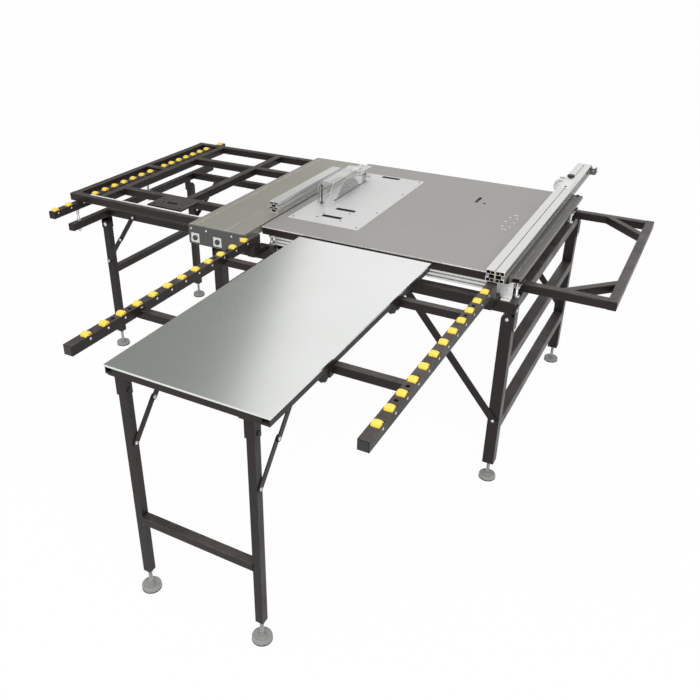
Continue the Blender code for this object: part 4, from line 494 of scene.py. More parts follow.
def extruded(outline, axis, start, end, soft):
    # an outline of the other two coordinates, drawn along one axis
    index = "xyz".index(axis)
    shape = newShape()
    points = []
    for first, second in outline:
        spot = [first, second]
        spot.insert(index, start)
        points.append(shape.verts.new(spot))
    face = shape.faces.new(points)
    grown = bmesh.ops.extrude_face_region(shape, geom=[face])
    step = Vector((0.0, 0.0, 0.0))
    step[index] = end - start
    moved = [item for item in grown["geom"] if isinstance(item, bmesh.types.BMVert)]
    bmesh.ops.translate(shape, vec=step, verts=moved)
    bmesh.ops.recalc_face_normals(shape, faces=shape.faces)
    roundSharp(shape, soft, 1)
    return shape


def notch(start, end, level, deep):
    # four points of a groove in a level face
    return [(start, level), (start, level - deep), (end, level - deep), (end, level)]


def threaded(radius, low, high, pitch=0.0018):
    # a threaded rod's profile, as fine rings
    core = radius * 0.88
    profile = [(0.0, low), (core, low)]
    for index in range(int((high - low) / pitch)):
        profile += [(core, low + pitch * (index + 0.15)), (radius, low + pitch * (index + 0.5))]
    return profile + [(core, high), (0.0, high)]


def hexNut(radius, height):
    shape = newShape()
    bmesh.ops.create_cone(shape, cap_ends=True, segments=6, radius1=radius, radius2=radius, depth=height,
                          matrix=Matrix.Translation((0.0, 0.0, height / 2)))
    roundSharp(shape, radius * 0.1, 2)
    return shape


def scaled(profile, size):
    return [(radius * size, height * size) for radius, height in profile]


# bolt heads as shares of their radius
washerShares = [(0.0, 0.0), (1.2, 0.0), (1.25, 0.06), (1.2, 0.2), (0.0, 0.2)]
hexHeadShare, hexHeadFrom = 0.62, 0.2
domeShares = [(0.0, 0.14), (0.32, 0.14), (0.36, 0.42), (0.62, 0.38), (0.9, 0.2), (1.0, 0.0), (0.0, 0.0)]
flushShares = [(0.0, 0.0002), (0.3, 0.0002), (0.36, 0.0003), (0.92, 0.0003), (1.0, 0.0), (0.0, -0.0005)]


def hexBolt(radius):
    # washer and head, standing on a face
    shape = turned(scaled(washerShares, radius), 20)
    addInto(shape, hexNut(radius, radius * hexHeadShare), Matrix.Translation((0.0, 0.0, radius * hexHeadFrom)))
    return shape


def domeBolt(radius):
    # round head with a socket
    return turned(scaled(domeShares, radius), 16)


def flushPin(radius):
    # a pin's dressed end, almost level with the face; its heights are the same for every radius
    return turned([(share * radius, height) for share, height in flushShares], 16)


boltMakers = {"hex": hexBolt, "dome": domeBolt, "flush": flushPin}


def finishPiece(name, shape, material, body, nodes=(), smooth=35.0, placed=False):
    if not placed:
        bmesh.ops.translate(shape, vec=benchShift, verts=shape.verts)
    mesh = bpy.data.meshes.new(name)
    shape.to_mesh(mesh)
    shape.free()
    mesh.materials.append(material)
    mesh.shade_smooth()
    mesh.set_sharp_from_angle(angle=math.radians(smooth))
    piece = bpy.data.objects.new(name, mesh)
    bpy.context.scene.collection.objects.link(piece)
    even = piece.modifiers.new("evenShading", "WEIGHTED_NORMAL")
    even.keep_sharp = True
    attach(piece, body)
    if nodes:
        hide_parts(*nodes)
    return piece


def boltsPiece(name, body, spots, material=zinc):
    piece = newShape()
    for kind, at, facing, radius in spots:
        addInto(piece, boltMakers[kind](radius), standAt(at, facing))
    return finishPiece(name, piece, material, body)


def markRimHighlight(shape):
    # the outer upright faces of a sheet, given a painted highlight where it was cut
    mark = shape.faces.layers.float["edge"]
    shape.normal_update()
    places = [[vert.co[axis] for vert in shape.verts] for axis in (0, 1)]
    spans = [(min(along), max(along)) for along in places]
    for face in shape.faces:
        centre = face.calc_center_median()
        reach = min(min(at - low, high - at) for at, (low, high) in zip(centre, spans))
        if abs(face.normal.z) < 0.95 and reach < rimReach:
            face[mark] = rimHighlight


def dressNode(nodeName, pieceName, material, soft, segments=2, rim=False):
    # a copy of a solid of the frame, merged and with its corners rounded
    shape = newShape()
    shape.from_mesh(frame["nodes"][nodeName].data)
    bmesh.ops.remove_doubles(shape, verts=shape.verts, dist=1e-5)
    bmesh.ops.dissolve_limit(shape, angle_limit=math.radians(0.8), verts=shape.verts, edges=shape.edges)
    roundSharp(shape, soft, segments)
    if rim:
        markRimHighlight(shape)
    return finishPiece(pieceName, shape, material, nodeBody[nodeName], (nodeName,), placed=True)


def cutOut(shape, cutters):
    # the cutters taken out of the shape
    owners = []
    for index, source in enumerate([shape] + cutters):
        mesh = bpy.data.meshes.new("cut%d" % index)
        source.to_mesh(mesh)
        source.free()
        owner = bpy.data.objects.new("cut%d" % index, mesh)
        bpy.context.scene.collection.objects.link(owner)
        owners.append(owner)
    for cutter in owners[1:]:
        taken = owners[0].modifiers.new("taken", "BOOLEAN")
        taken.operation = "DIFFERENCE"
        taken.object = cutter
    cutMesh = bpy.data.meshes.new_from_object(owners[0].evaluated_get(bpy.context.evaluated_depsgraph_get()))
    result = newShape()
    result.from_mesh(cutMesh)
    bpy.data.meshes.remove(cutMesh)
    for owner in owners:
        bpy.data.meshes.remove(owner.data)
    return result


# main table
mainTable = {
    "top": 0.80, "plateEdge": 0.0007, "insertEdge": 0.0005, "frameEdge": 0.0022, "slotInset": 0.004,
    "screws": [(0.047, 0.150), (0.308, 0.150), (0.047, 0.762), (0.308, 0.762), (0.308, 0.330), (0.308, 0.580),
               (0.132, 0.232), (0.222, 0.270), (0.128, 0.186), (0.226, 0.186)],
    "screwRadius": 0.0042,
    "ringAt": (0.780, 0.475), "ringSize": (0.016, 0.085), "ringCount": 10, "ringRadius": 0.0043, "ringZ": 0.7998,
    "shadePans": [((0.130, 0.225), (0.194, 0.226)), ((0.142, 0.237), (0.286, 0.318)),
             ((0.130, 0.225), (0.745, 0.7675)), ((0.588, 0.644), (0.622, 0.704))],
    "panZ": (0.786, 0.7955), "panEdge": 0.0008,
}


def shadeSlotWalls(piece, node, inset):
    # painted shade: the walls of the slots are coloured black
    piece.data.materials.append(blackPlastic)
    low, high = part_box(node)
    for face in piece.data.polygons:
        reach = min(min(face.center[axis] - low[axis], high[axis] - face.center[axis]) for axis in (0, 1))
        if abs(face.normal.z) < 0.8 and reach > inset:
            face.material_index = 1


def makeMainTable(look):
    plate = dressNode("table_plate", "tablePlate", tableSteel, look["plateEdge"], rim=True)
    insert = dressNode("insert_plate", "insertPlate", insertSteel, look["insertEdge"])
    shadeSlotWalls(plate, "table_plate", look["slotInset"])
    shadeSlotWalls(insert, "insert_plate", look["slotInset"])
    dressNode("table_frame", "tableFrame", darkPaint, look["frameEdge"], 3)
    screws = [("flush", (x, y, look["top"]), "+z", look["screwRadius"]) for x, y in look["screws"]]
    boltsPiece("insertScrews", "bench", screws, blackPlastic)
    middleX, middleY = look["ringAt"]
    screws = [("flush", (middleX + across, middleY + up, look["ringZ"]), "+z", look["ringRadius"])
              for across, up in aroundRing(look["ringCount"], *look["ringSize"])]
    boltsPiece("toolRingScrews", "bench", screws)
    # black pans under the slots, a painted shade seen through them
    shadePans = newShape()
    for x, y in look["shadePans"]:
        boxInto(shadePans, x, y, look["panZ"], look["panEdge"])
    finishPiece("slotShadePans", shadePans, blackPlastic, "bench")


sideStrip = {
    "left": 0.9153, "right": 0.9533, "top": 0.80, "wall": 0.006, "deep": 0.0244, "lip": 0.0122, "edge": 0.0006,
    "groove": 0.0140, "grooveWidth": 0.0016, "grooveDepth": 0.0016, "length": (0.0, 0.912),
    "stop": (0.9345, 0.902), "stopRadius": 0.0058,
}


def makeSideStrip(look):
    left, right, top, wall = look["left"], look["right"], look["top"], look["wall"]
    groove = left + look["groove"]
    outline = [
        (left, top - look["deep"]), (left + wall, top - look["deep"]), (left + wall, top - wall),
        (right - wall, top - wall), (right - wall, top - look["lip"]), (right, top - look["lip"]), (right, top),
        *notch(groove + look["grooveWidth"], groove, top, look["grooveDepth"]), (left, top),
    ]
    strip = extruded(outline, "y", *look["length"], look["edge"])
    finishPiece("sideStrip", strip, stripAluminium, "bench", ("side_profile",))
    boltsPiece("stripStop", "bench", [("hex", (*look["stop"], top), "+z", look["stopRadius"])], blackPlastic)


# saw below the insert, about the blade's middle
saw = {
    "x": 0.099, "y": 0.503, "z": 0.735, "radius": 0.125, "thick": 0.0024, "bore": 0.0103, "hub": (0.030, 0.0305),
    "body": (0.118, 0.1185), "waist": 0.8, "teeth": 40, "tooth": (0.0078, 0.0052), "toothIn": 0.0062, "rake": 24.0,
}
sawMotor = {
    "x": (0.1082, 0.2732), "radius": 0.052, "nose": [(0.0, 0.0), (0.030, 0.0), (0.034, 0.004), (0.034, 0.018)],
    "shoulder": (0.004, 0.020), "finsFrom": 0.026, "finsBack": 0.030, "fins": 11, "finDepth": 0.005,
    "finShares": (0.45, 0.52, 0.93), "tail": [(0.0, 0.016), (0.006, 0.004), (0.012, 0.0)],   # in from radius and end
    "mountX": (0.1167, 0.2647), "mountHalf": 0.040, "mountTop": 0.7957, "mountEdge": 0.003,
    "holderX": 0.1322, "holderThick": 0.016, "holderZ": (0.762, 0.778), "holderEdge": 0.0015,
}
knife = {
    "half": 0.001, "y": (0.636, 0.671), "z": (0.772, 0.840), "edge": 0.0006,
    "arbor": (0.010, 0.0175), "arborLeft": 0.0092, "pin": (0.0029, 0.054), "pinLeft": 0.027, "pinAt": (0.654, 0.8275),
}
guard = {
    "edge": 0.0008, "x": (0.0725, 0.1255), "front": 0.2970, "step": 0.5655, "back": 0.6660,
    "low": 0.8065, "high": 0.8915, "rear": 0.8695, "nose": 0.040, "noseSteps": 6, "line": 0.0013,
    "postAt": (0.0815, 0.3105, 0.8068),
    "post": [(0.0, 0.0), (0.0062, 0.0), (0.0066, 0.005), (0.0036, 0.010), (0.0030, 0.012), (0.0030, 0.064),
             (0.0042, 0.066), (0.0042, 0.074), (0.0, 0.075)],
}


def makeBlade(look):
    half, waist = look["thick"] / 2, look["thick"] / 2 * look["waist"]
    bore, (hub, hubEnd), (body, bodyEnd) = look["bore"], look["hub"], look["body"]
    blade = turned([(bore, -half), (hub, -half), (hubEnd, -waist), (body, -waist), (bodyEnd, waist),
                    (hubEnd, waist), (hub, half), (bore, half)], 64, True)
    for index in range(look["teeth"]):
        tooth = block((*look["tooth"], look["thick"]))
        bmesh.ops.rotate(tooth, matrix=Matrix.Rotation(math.radians(look["rake"]), 3, "Z"), verts=tooth.verts)
        bmesh.ops.translate(tooth, vec=(look["radius"] - look["toothIn"], 0.0, 0.0), verts=tooth.verts)
        addInto(blade, tooth, Matrix.Rotation(2 * math.pi * index / look["teeth"], 4, "Z"))
    piece = newShape()
    addInto(piece, blade, standAt((look["x"], look["y"], look["z"]), "+x"))
    finishPiece("sawBlade", piece, bladeSteel, "blade", ("saw_blade",))


def makeMotor(look):
    y, z = saw["y"], saw["z"]
    left, right = look["x"]
    length, radius = right - left, look["radius"]
    sunk = radius - look["finDepth"]
    pitch = (length - look["finsFrom"] - look["finsBack"]) / look["fins"]
    chamfer, shoulder = look["shoulder"]
    profile = look["nose"] + [(radius - chamfer, shoulder), (radius, look["finsFrom"])]
    for index in range(look["fins"]):
        crest, root, rise = [look["finsFrom"] + pitch * (index + share) for share in look["finShares"]]
        profile += [(radius, crest), (sunk, root), (sunk, rise), (radius, look["finsFrom"] + pitch * (index + 1))]
    profile += [(radius - inset, length - back) for inset, back in look["tail"]] + [(0.0, length)]
    case = newShape()
    addInto(case, turned(profile, 40), standAt((left, y, z), "+x"))
    half, holder = look["mountHalf"], look["holderX"]
    boxInto(case, look["mountX"], (y - half, y + half), (z, look["mountTop"]), look["mountEdge"], 3)
    boxInto(case, (holder - look["holderThick"], holder), (y, knife["y"][1]), look["holderZ"], look["holderEdge"])
    boxInto(case, (saw["x"] - knife["half"], holder), knife["y"], look["holderZ"], look["holderEdge"])
    finishPiece("sawMotor", case, motorPaint, "bench", ("saw_motor",))


def makeKnife(look):
    x, y, z = saw["x"], saw["y"], saw["z"]
    piece = newShape()
    boxInto(piece, (x - look["half"], x + look["half"]), look["y"], look["z"], look["edge"], 1)
    addInto(piece, rod(*look["arbor"], 20), standAt((x - look["arborLeft"], y, z), "+x"))
    addInto(piece, rod(*look["pin"], 16), standAt((x - look["pinLeft"], *look["pinAt"]), "+x"))
    finishPiece("rivingKnife", piece, bladeSteel, "bench")


def makeGuard(look):
    dressNode("blade_guard", "bladeGuard", clearGuard, look["edge"])
    post = newShape()
    addInto(post, turned(look["post"], 16), standAt(look["postAt"], "+z"))
    finishPiece("guardPost", post, blackPlastic, "guard")
    left, right = look["x"]
    front, step, back, nose = look["front"], look["step"], look["back"], look["nose"]
    low, high, rear, line = look["low"], look["high"], look["rear"], look["line"]
    turns = [math.pi / 2 * index / look["noseSteps"] for index in range(look["noseSteps"] + 1)]
    bend = [(front + nose - nose * math.cos(turn), high - nose + nose * math.sin(turn)) for turn in turns]
    outline = [(front, low), *bend, (step, high), (step, rear), (back, rear), (back, low), (front, low)]
    runs = [((left, *spot), (right, *spot)) for spot in ((front, low), (step, high), (step, rear), (back, rear))]
    for x in (left, right):
        runs += [((x, *start), (x, *end)) for start, end in zip(outline, outline[1:])]
    # painted highlights: thin pale rods along the guard's edges
    edges = newShape()
    for start, end in runs:
        tubeInto(edges, start, end, line, soft=line * 0.3)
    finishPiece("guardHighlightRods", edges, guardEdgeHighlight, "guard")


# levelling feet, shared by the four leg pairs; rim and puck points are insets from the radius
feet = {
    "radius": 0.030, "rim": [(0.0012, 0.0), (0.0, 0.0010), (0.0, 0.0040)], "rimTop": 0.0042,
    "puck": [(0.0014, 0.0036), (0.0005, 0.0046), (0.0005, 0.0128), (0.0016, 0.0152), (0.0042, 0.0166),
             (0.0064, 0.0168)],
    "socket": [(0.0180, 0.0150), (0.0136, 0.0146), (0.0118, 0.0158), (0.0104, 0.0212), (0.0092, 0.0230)],
    "stem": (0.006, 0.0225, 0.078), "nuts": [(0.0095, 0.0055, 0.0232), (0.0105, 0.0065, 0.0672)],
}


def feetPieces(name, body, spots, look):
    pads, rims, stems = newShape(), newShape(), newShape()
    rim = [(look["radius"] - inset, height) for inset, height in look["rim"]]
    puck = [(look["radius"] - inset, height) for inset, height in look["puck"]] + look["socket"]
    for x, y in spots:
        floor = standAt((x, y, 0.0), "+z")
        addInto(rims, turned([(0.0, rim[0][1])] + rim + [(0.0, look["rimTop"])], 40), floor)
        addInto(pads, turned([(0.0, puck[0][1])] + puck + [(0.0, puck[-1][1])], 40), floor)
        addInto(stems, turned(threaded(*look["stem"]), 16), floor)
        for radius, height, z in look["nuts"]:
            addInto(stems, hexNut(radius, height), standAt((x, y, z), "+z"))
    finishPiece(name + "FootPads", pads, footPad, body)
    # the black rims are dark rubber and also a painted contact shadow where the feet meet the floor
    finishPiece(name + "FootRims", rims, blackPlastic, body)
    finishPiece(name + "FootStems", stems, stemSteel, body)


# saw bench base, the sliding table's bearings on it and its folding legs
bearings = {
    "ys": (0.271, 0.511), "x": (-0.249, -0.095), "half": 0.030, "top": 0.7385, "edge": 0.002,
    "shaftXs": (-0.221, -0.123), "shaftZ": 0.752, "sleeve": [(0.0103, 0.0), (0.0155, 0.0), (0.0160, 0.0015)],
    "saddle": (0.009, 0.029), "saddleZ": (0.7375, 0.7420),
}
base = {
    "tube": 0.040, "lap": 0.0005, "left": -0.222, "right": 0.947, "front": -0.008, "back": 0.987,
    "low": 0.673, "high": 0.713, "beamX": 0.015,
    "pivot": 0.6515, "bracketLow": 0.611, "plate": 0.004, "gap": 0.0005, "plateEdge": 0.0012, "cheekLap": 0.001,
    "pivotBolt": 0.0060, "webBolts": [(0.020, 0.682, 0.006), (0.034, 0.625, 0.005)],   # in from the face, up, radius
    "legXs": {"right": 0.927, "left": -0.202}, "legYs": (0.012, 0.967), "legLow": 0.074, "railZs": (0.235, 0.477),
    "braceXs": {"right": 0.567, "left": 0.158}, "braceTop": 0.693, "braceFoot": 0.262, "braceThick": 0.005,
    "braceEdge": 0.0012, "topBolt": 0.0062, "footBolt": 0.0056, "footBoltOut": 0.004,
}
jacks = {
    "xs": (0.015, 0.935), "ys": (0.042, 0.820), "radius": 0.006, "top": 0.7704, "nutRadius": 0.011,
    "nuts": [(0.010, 0.0), (0.008, 0.034)], "cap": (0.0125, 0.003),
    "wing": (0.0030, 0.0060, 0.020), "wingEdge": 0.0010, "wingOut": 0.0085, "wingDrop": 0.013, "wingLean": 38.0,
}


def makeBase(look):
    tube, half, lap = look["tube"], look["tube"] / 2, look["lap"]
    middle = (look["low"] + look["high"]) / 2
    left, right, front, back = look["left"], look["right"], look["front"], look["back"]
    tubes = newShape()
    for y in (front + half, back - half):
        tubeInto(tubes, (left, y, middle), (right, y, middle), tube, ends=("cap", "cap"))
    for x in (left + half, right - half, look["beamX"]):
        tubeInto(tubes, (x, front + tube - lap, middle), (x, back - tube + lap, middle), tube)
    for y in bearings["ys"]:
        tubeInto(tubes, (left + tube - lap, y, middle), (look["beamX"] - half + lap, y, middle), tube)
    near, far = half + look["gap"], half + look["gap"] + look["plate"]   # a bracket plate's faces from the leg's middle
    for side, x in look["legXs"].items():
        outward = 1 if side == "right" else -1
        web = sorted((x + outward * near, x + outward * far))
        for y, inward in zip(look["legYs"], (1, -1)):
            webY = sorted((y - inward * half, y + inward * far))
            cheekX = sorted((x - outward * half, web[0]))
            cheekY = sorted((y + inward * near, y + inward * far))
            boxInto(tubes, web, webY, (look["bracketLow"], middle), look["plateEdge"])
            boxInto(tubes, cheekX, cheekY, (look["bracketLow"], look["low"] + look["cheekLap"]), look["plateEdge"])
    finishPiece("baseFrame", tubes, darkPaint, "bench", ("base_frame",))


def makeBearings(look):
    blocks = newShape()
    half, (saddleX, saddleY) = look["half"], look["saddle"]
    for y in look["ys"]:
        boxInto(blocks, look["x"], (y - half, y + half), (base["high"], look["top"]), look["edge"])
        for x in look["shaftXs"]:
            addInto(blocks, ring(half, look["sleeve"], 32), standAt((x, y, look["shaftZ"]), "+y"))
            boxInto(blocks, (x - saddleX, x + saddleX), (y - saddleY, y + saddleY), look["saddleZ"])
    finishPiece("bearingBlocks", blocks, castGrey, "bench")


def makeJacks(look):
    bolts, wings = newShape(), newShape()
    low, top = base["high"], look["top"]
    for x, y in [(x, y) for x in look["xs"] for y in look["ys"]]:
        addInto(bolts, turned(threaded(look["radius"], low, top), 16), standAt((x, y, 0.0), "+z"))
        for height, up in look["nuts"]:
            addInto(bolts, hexNut(look["nutRadius"], height), standAt((x, y, low + up), "+z"))
        addInto(bolts, rod(*look["cap"], 20), standAt((x, y, top - look["cap"][1]), "+z"))
        for lean in (-1, 1):
            wing = block(look["wing"])
            roundSharp(wing, look["wingEdge"])
            tilt = Matrix.Rotation(lean * math.radians(look["wingLean"]), 4, "Y")
            addInto(wings, wing, Matrix.Translation((x + lean * look["wingOut"], y, top - look["wingDrop"])) @ tilt)
    finishPiece("jackBolts", bolts, zinc, "bench")
    finishPiece("jackWings", wings, zinc, "bench")


def makeBenchLegs(look):
    tube, half, lap = look["tube"], look["tube"] / 2, look["lap"]
    front, back, out = look["front"], look["back"], look["gap"] + look["braceThick"]
    braceFaces = (("front", front - out, "-y", -1), ("rear", back + out, "+y", 1))
    bolts = []
    for side, x in look["legXs"].items():
        outward, webFacing = (1, "+x") if side == "right" else (-1, "-x")
        webFace = x + outward * (half + look["gap"] + look["plate"])
        for y, facing, inward in ((front, "-y", 1), (back, "+y", -1)):
            bolts.append(("dome", (x, y, look["pivot"]), facing, look["pivotBolt"]))
            bolts += [("dome", (webFace, y + inward * inset, z), webFacing, radius)
                      for inset, z, radius in look["webBolts"]]
        bolts += [("dome", (look["braceXs"][side], y, look["braceTop"]), facing, look["topBolt"])
                  for place, y, facing, outside in braceFaces]
    boltsPiece("baseBolts", "bench", bolts)

    firstY, lastY = look["legYs"]
    for side, x in look["legXs"].items():
        body = side + "_leg_pair"
        legs = newShape()
        for y in look["legYs"]:
            legInto(legs, x, y, look["legLow"], look["pivot"], tube, "y")
        for z in look["railZs"]:
            tubeInto(legs, (x, firstY + half - lap, z), (x, lastY - half + lap, z), tube)
        finishPiece(side + "Legs", legs, darkPaint, body, (side + "_legs",))
        feetPieces(side, body, [(x, y) for y in look["legYs"]], feet)
        for place, y, facing, outside in braceFaces:
            node, name = "brace_%s_%s" % (side, place), side + place.title() + "Brace"
            dressNode(node, name, darkPaint, look["braceEdge"])
            spot = (x, y + outside * look["footBoltOut"], look["braceFoot"])
            boltsPiece(name + "Bolt", node + "_bar", [("dome", spot, facing, look["footBolt"])])


# sliding table; its channels are measured from the left and right edges of the deck
slide = {
    "left": -0.251, "right": -0.011, "front": -0.109, "back": 0.891, "top": 0.80, "low": 0.77, "edge": 0.0007,
    "corner": (0.012, 0.002), "leftChannel": (0.060, 0.095), "rightChannel": (0.060, 0.030), "channelDeep": 0.010,
    "groove": 0.158, "grooveSize": (0.0022, 0.0016), "band": 0.026, "bandLine": 0.0014,
    "sideSlot": (0.011, 0.019), "sideSlotDeep": 0.004,
    "plateThick": 0.008, "plateLow": 0.726, "plateDrop": 0.0006, "plateEdge": 0.0012,
    "block": 0.036, "blockIn": 0.004, "blockOut": 0.002, "blockBolt": 0.0027, "blockBoltAt": 0.0132,
    "shaftRadius": 0.010, "shaftChamfer": 0.0012, "shaftOut": 0.006,
    "plateBolt": 0.0042, "boltInsets": ((0.012, 0.079), (0.050, 0.012)), "boltZ": 0.785, "lowBoltZ": 0.742,
}


def makeSlidingTable(look):
    left, right, top, low = look["left"], look["right"], look["top"], look["low"]
    front, back, thick = look["front"], look["back"], look["plateThick"]
    groove, (width, deep) = left + look["groove"], look["grooveSize"]
    band, line, under = left + look["band"], look["bandLine"], look["channelDeep"]
    slotTop, slotLow = [top - drop for drop in look["sideSlot"]]
    slotX = left + look["sideSlotDeep"]
    outline = [
        (left, low + look["corner"][1]), (left + look["corner"][0], low),
        *notch(*[left + inset for inset in look["leftChannel"]], low, -under),
        *notch(*[right - inset for inset in look["rightChannel"]], low, -under),
        (right, low), (right, top), *notch(groove + width, groove, top, deep), *notch(band + line, band, top, line),
        (left, top), (left, slotTop), (slotX, slotTop), (slotX, slotLow), (left, slotLow),
    ]
    deck = extruded(outline, "y", front + thick, back - thick, look["edge"])
    finishPiece("slidingDeck", deck, deckAluminium, "sliding_table", ("sliding_top",))

    plates = newShape()
    for span in ((front, front + thick), (back - thick, back)):
        boxInto(plates, (left, right), span, (look["plateLow"], top - look["plateDrop"]), look["plateEdge"])
    finishPiece("slideEndPlates", plates, castGrey, "sliding_table")

    blocks, shafts = newShape(), newShape()
    bolts = []
    half, z, apart = look["block"] / 2, bearings["shaftZ"], look["blockBoltAt"]
    radius, chamfer = look["shaftRadius"], look["shaftChamfer"]
    length = back - front + 2 * look["shaftOut"]
    shaft = [(0.0, 0.0), (radius - chamfer, 0.0), (radius, chamfer), (radius, length - chamfer),
             (radius - chamfer, length), (0.0, length)]
    for x in bearings["shaftXs"]:
        for face, outward, facing in ((front, -1, "-y"), (back, 1, "+y")):
            outer = face + outward * look["blockOut"]
            boxInto(blocks, (x - half, x + half), sorted((face - outward * look["blockIn"], outer)),
                    (z - half, z + half), look["plateEdge"])
            bolts += [("dome", (x + acrossX * apart, outer, z + acrossZ * apart), facing, look["blockBolt"])
                      for acrossX in (-1, 1) for acrossZ in (-1, 1)]
        addInto(shafts, turned(shaft, 32), standAt((x, front - look["shaftOut"], z), "+y"))
    fromLeft, fromRight = look["boltInsets"]
    for x in [left + inset for inset in fromLeft] + [right - inset for inset in fromRight]:
        bolts += [("dome", (x, face, look["boltZ"]), facing, look["plateBolt"])
                  for face, facing in ((front, "-y"), (back, "+y"))]
    bolts.append(("dome", (left + fromLeft[0], front, look["lowBoltZ"]), "-y", look["plateBolt"]))
    finishPiece("shaftClamps", blocks, fenceAluminium, "sliding_table")
    finishPiece("guideShafts", shafts, motorPaint, "sliding_table")
    boltsPiece("slideBolts", "sliding_table", bolts)


# aluminium extrusions of both fences and the fence rail
barSlot = {"mouth": 0.004, "lip": 0.0022, "wide": 0.0058, "floor": 0.0040, "deep": 0.0085}
railSlot = {"mouth": 0.0028, "lip": 0.0018, "wide": 0.0040, "floor": 0.0026, "deep": 0.0085}
bars = {"line": (0.0015, 0.003), "edge": 0.0004, "cellDeep": 0.045, "cutPast": 0.01, "endFace": 0.001}


def slotPoints(face, inward, level, slot):
    # a T slot in an upright face, from its lower lip to its upper one
    mouth, lip, wide, floor, deep = slot["mouth"], slot["lip"], slot["wide"], slot["floor"], slot["deep"]
    half = [(deep, floor), (lip, wide), (lip, mouth), (0.0, mouth)]
    whole = [(depth, -up) for depth, up in reversed(half)] + half
    return [(face + inward * depth, level + up) for depth, up in whole]


def slotted(width, height, slots, lines=()):
    # an extrusion's outline about its lower middle: T slots in both sides, thin lines in the top
    half, (line, deep) = width / 2, bars["line"]
    right = [point for level in slots for point in slotPoints(half, -1, level, barSlot)]
    top = [point for at in sorted(lines, reverse=True) for point in notch(at + line, at - line, height, deep)]
    mirrored = [(-x, z) for x, z in reversed(right)]
    return [(-half, 0.0), (half, 0.0), *right, (half, height), *top, (-half, height), *mirrored]


def bothSides(rows):
    # rows of cells given for the right half, from the side inwards, with their mirror images
    return [cell for row in rows for cell in [((-far, -near), up) for (near, far), up in row] + row[::-1]]


def extrusionBar(outline, cells, x, low, front, back, sideShade):
    bar = extruded([(x + across, low + up) for across, up in outline], "y", front, back, bars["edge"])
    past, deep = bars["cutPast"], bars["cellDeep"]
    spans = ((front - past, front + deep), (back - deep, back + past))
    cells = [((x + across[0], x + across[1]), (low + up[0], low + up[1])) for across, up in cells]
    bar = cutOut(bar, [plainBox(across, span, up) for across, up in cells for span in spans])
    bar.normal_update()
    slack = 1e-4
    for face in bar.faces:
        centre = face.calc_center_median()
        within = any(across[0] - slack < centre.x < across[1] + slack and up[0] - slack < centre.z < up[1] + slack
                     for across, up in cells)
        if within and min(centre.y - front, back - centre.y) > bars["endFace"]:
            face.material_index = 2   # painted shade: the hollow cells are coloured black
        elif sideShade and abs(face.normal.x) > 0.7:
            face.material_index = 1   # painted shade on the sides
    return bar


def finishBar(name, bar, body, node):
    piece = finishPiece(name, bar, fenceAluminium, body, (node,))
    piece.data.materials.append(fenceShadedSide)
    # black plastic for the painted shade inside the hollow cells
    piece.data.materials.append(blackPlastic)


crosscut = {
    "x": -0.035, "width": 0.040, "height": 0.044, "low": 0.8003, "front": 0.141, "back": 0.661,
    "slots": (0.0100, 0.0285),
    "cells": [[((0.0014, 0.0172), (0.0355, 0.0410))], [((0.0014, 0.0172), (0.0168, 0.0217))]],
    "middleCells": [((-0.0085, 0.0085), (0.0245, 0.0328)), ((-0.0085, 0.0085), (0.0055, 0.0140))],
}


def makeCrosscutFence(look):
    outline = slotted(look["width"], look["height"], look["slots"])
    cells = bothSides(look["cells"]) + look["middleCells"]
    bar = extrusionBar(outline, cells, look["x"], look["low"], look["front"], look["back"], False)
    finishBar("crosscutFence", bar, "sliding_table", "crosscut_fence")


# rollers: one turned shape for the rack, the rail and the outrigger
roller = {
    "radius": 0.015, "half": 0.012, "steps": 28, "smooth": 45.0,
    "face": [(0.0033, 0.0), (0.0062, 0.0), (0.0066, 0.0012), (0.0098, 0.0012), (0.0104, 0.0), (0.0122, 0.0),
             (0.0132, 0.0010)],
    "crown": [(0.0008, 0.0042), (0.0, 0.0070)],   # in from the radius, and depth
    "pocketX": 0.0127, "pocketY": 0.0165, "pocketDeep": 0.0157, "pocketPast": 0.01,
    "axle": [(0.0, 0.0013), (0.0022, 0.0012), (0.0036, 0.0007), (0.0040, 0.0), (0.0, 0.0)], "axleDrop": 0.0035,
    "axleSmooth": 50.0,
}


def rollerAt(piece, x, y, z, look):
    profile = look["face"] + [(look["radius"] - inset, depth) for inset, depth in look["crown"]]
    addInto(piece, ring(look["half"], profile, look["steps"]), standAt((x, y, z), "+x"))


def axleEnds(piece, x, y, z, half, look):
    # riveted axle ends on both sides of a roller bar
    for facing, at in (("-x", x - half), ("+x", x + half)):
        addInto(piece, turned(look["axle"], 12), standAt((at, y, z - look["axleDrop"]), facing))


def pocketBar(x, front, back, low, high, ys, axleZ, ends, look):
    # a square roller bar with a pocket for each roller
    middle = (low + high) / 2
    bar = newShape()
    tubeInto(bar, (x, front, middle), (x, back, middle), high - low, ends=ends)
    across, along = look["pocketX"], look["pocketY"]
    upright = (axleZ - look["pocketDeep"], high + look["pocketPast"])
    return cutOut(bar, [plainBox((x - across, x + across), (y - along, y + along), upright) for y in ys])


def evenly(first, last, count):
    return [first + (last - first) / (count - 1) * index for index in range(count)]


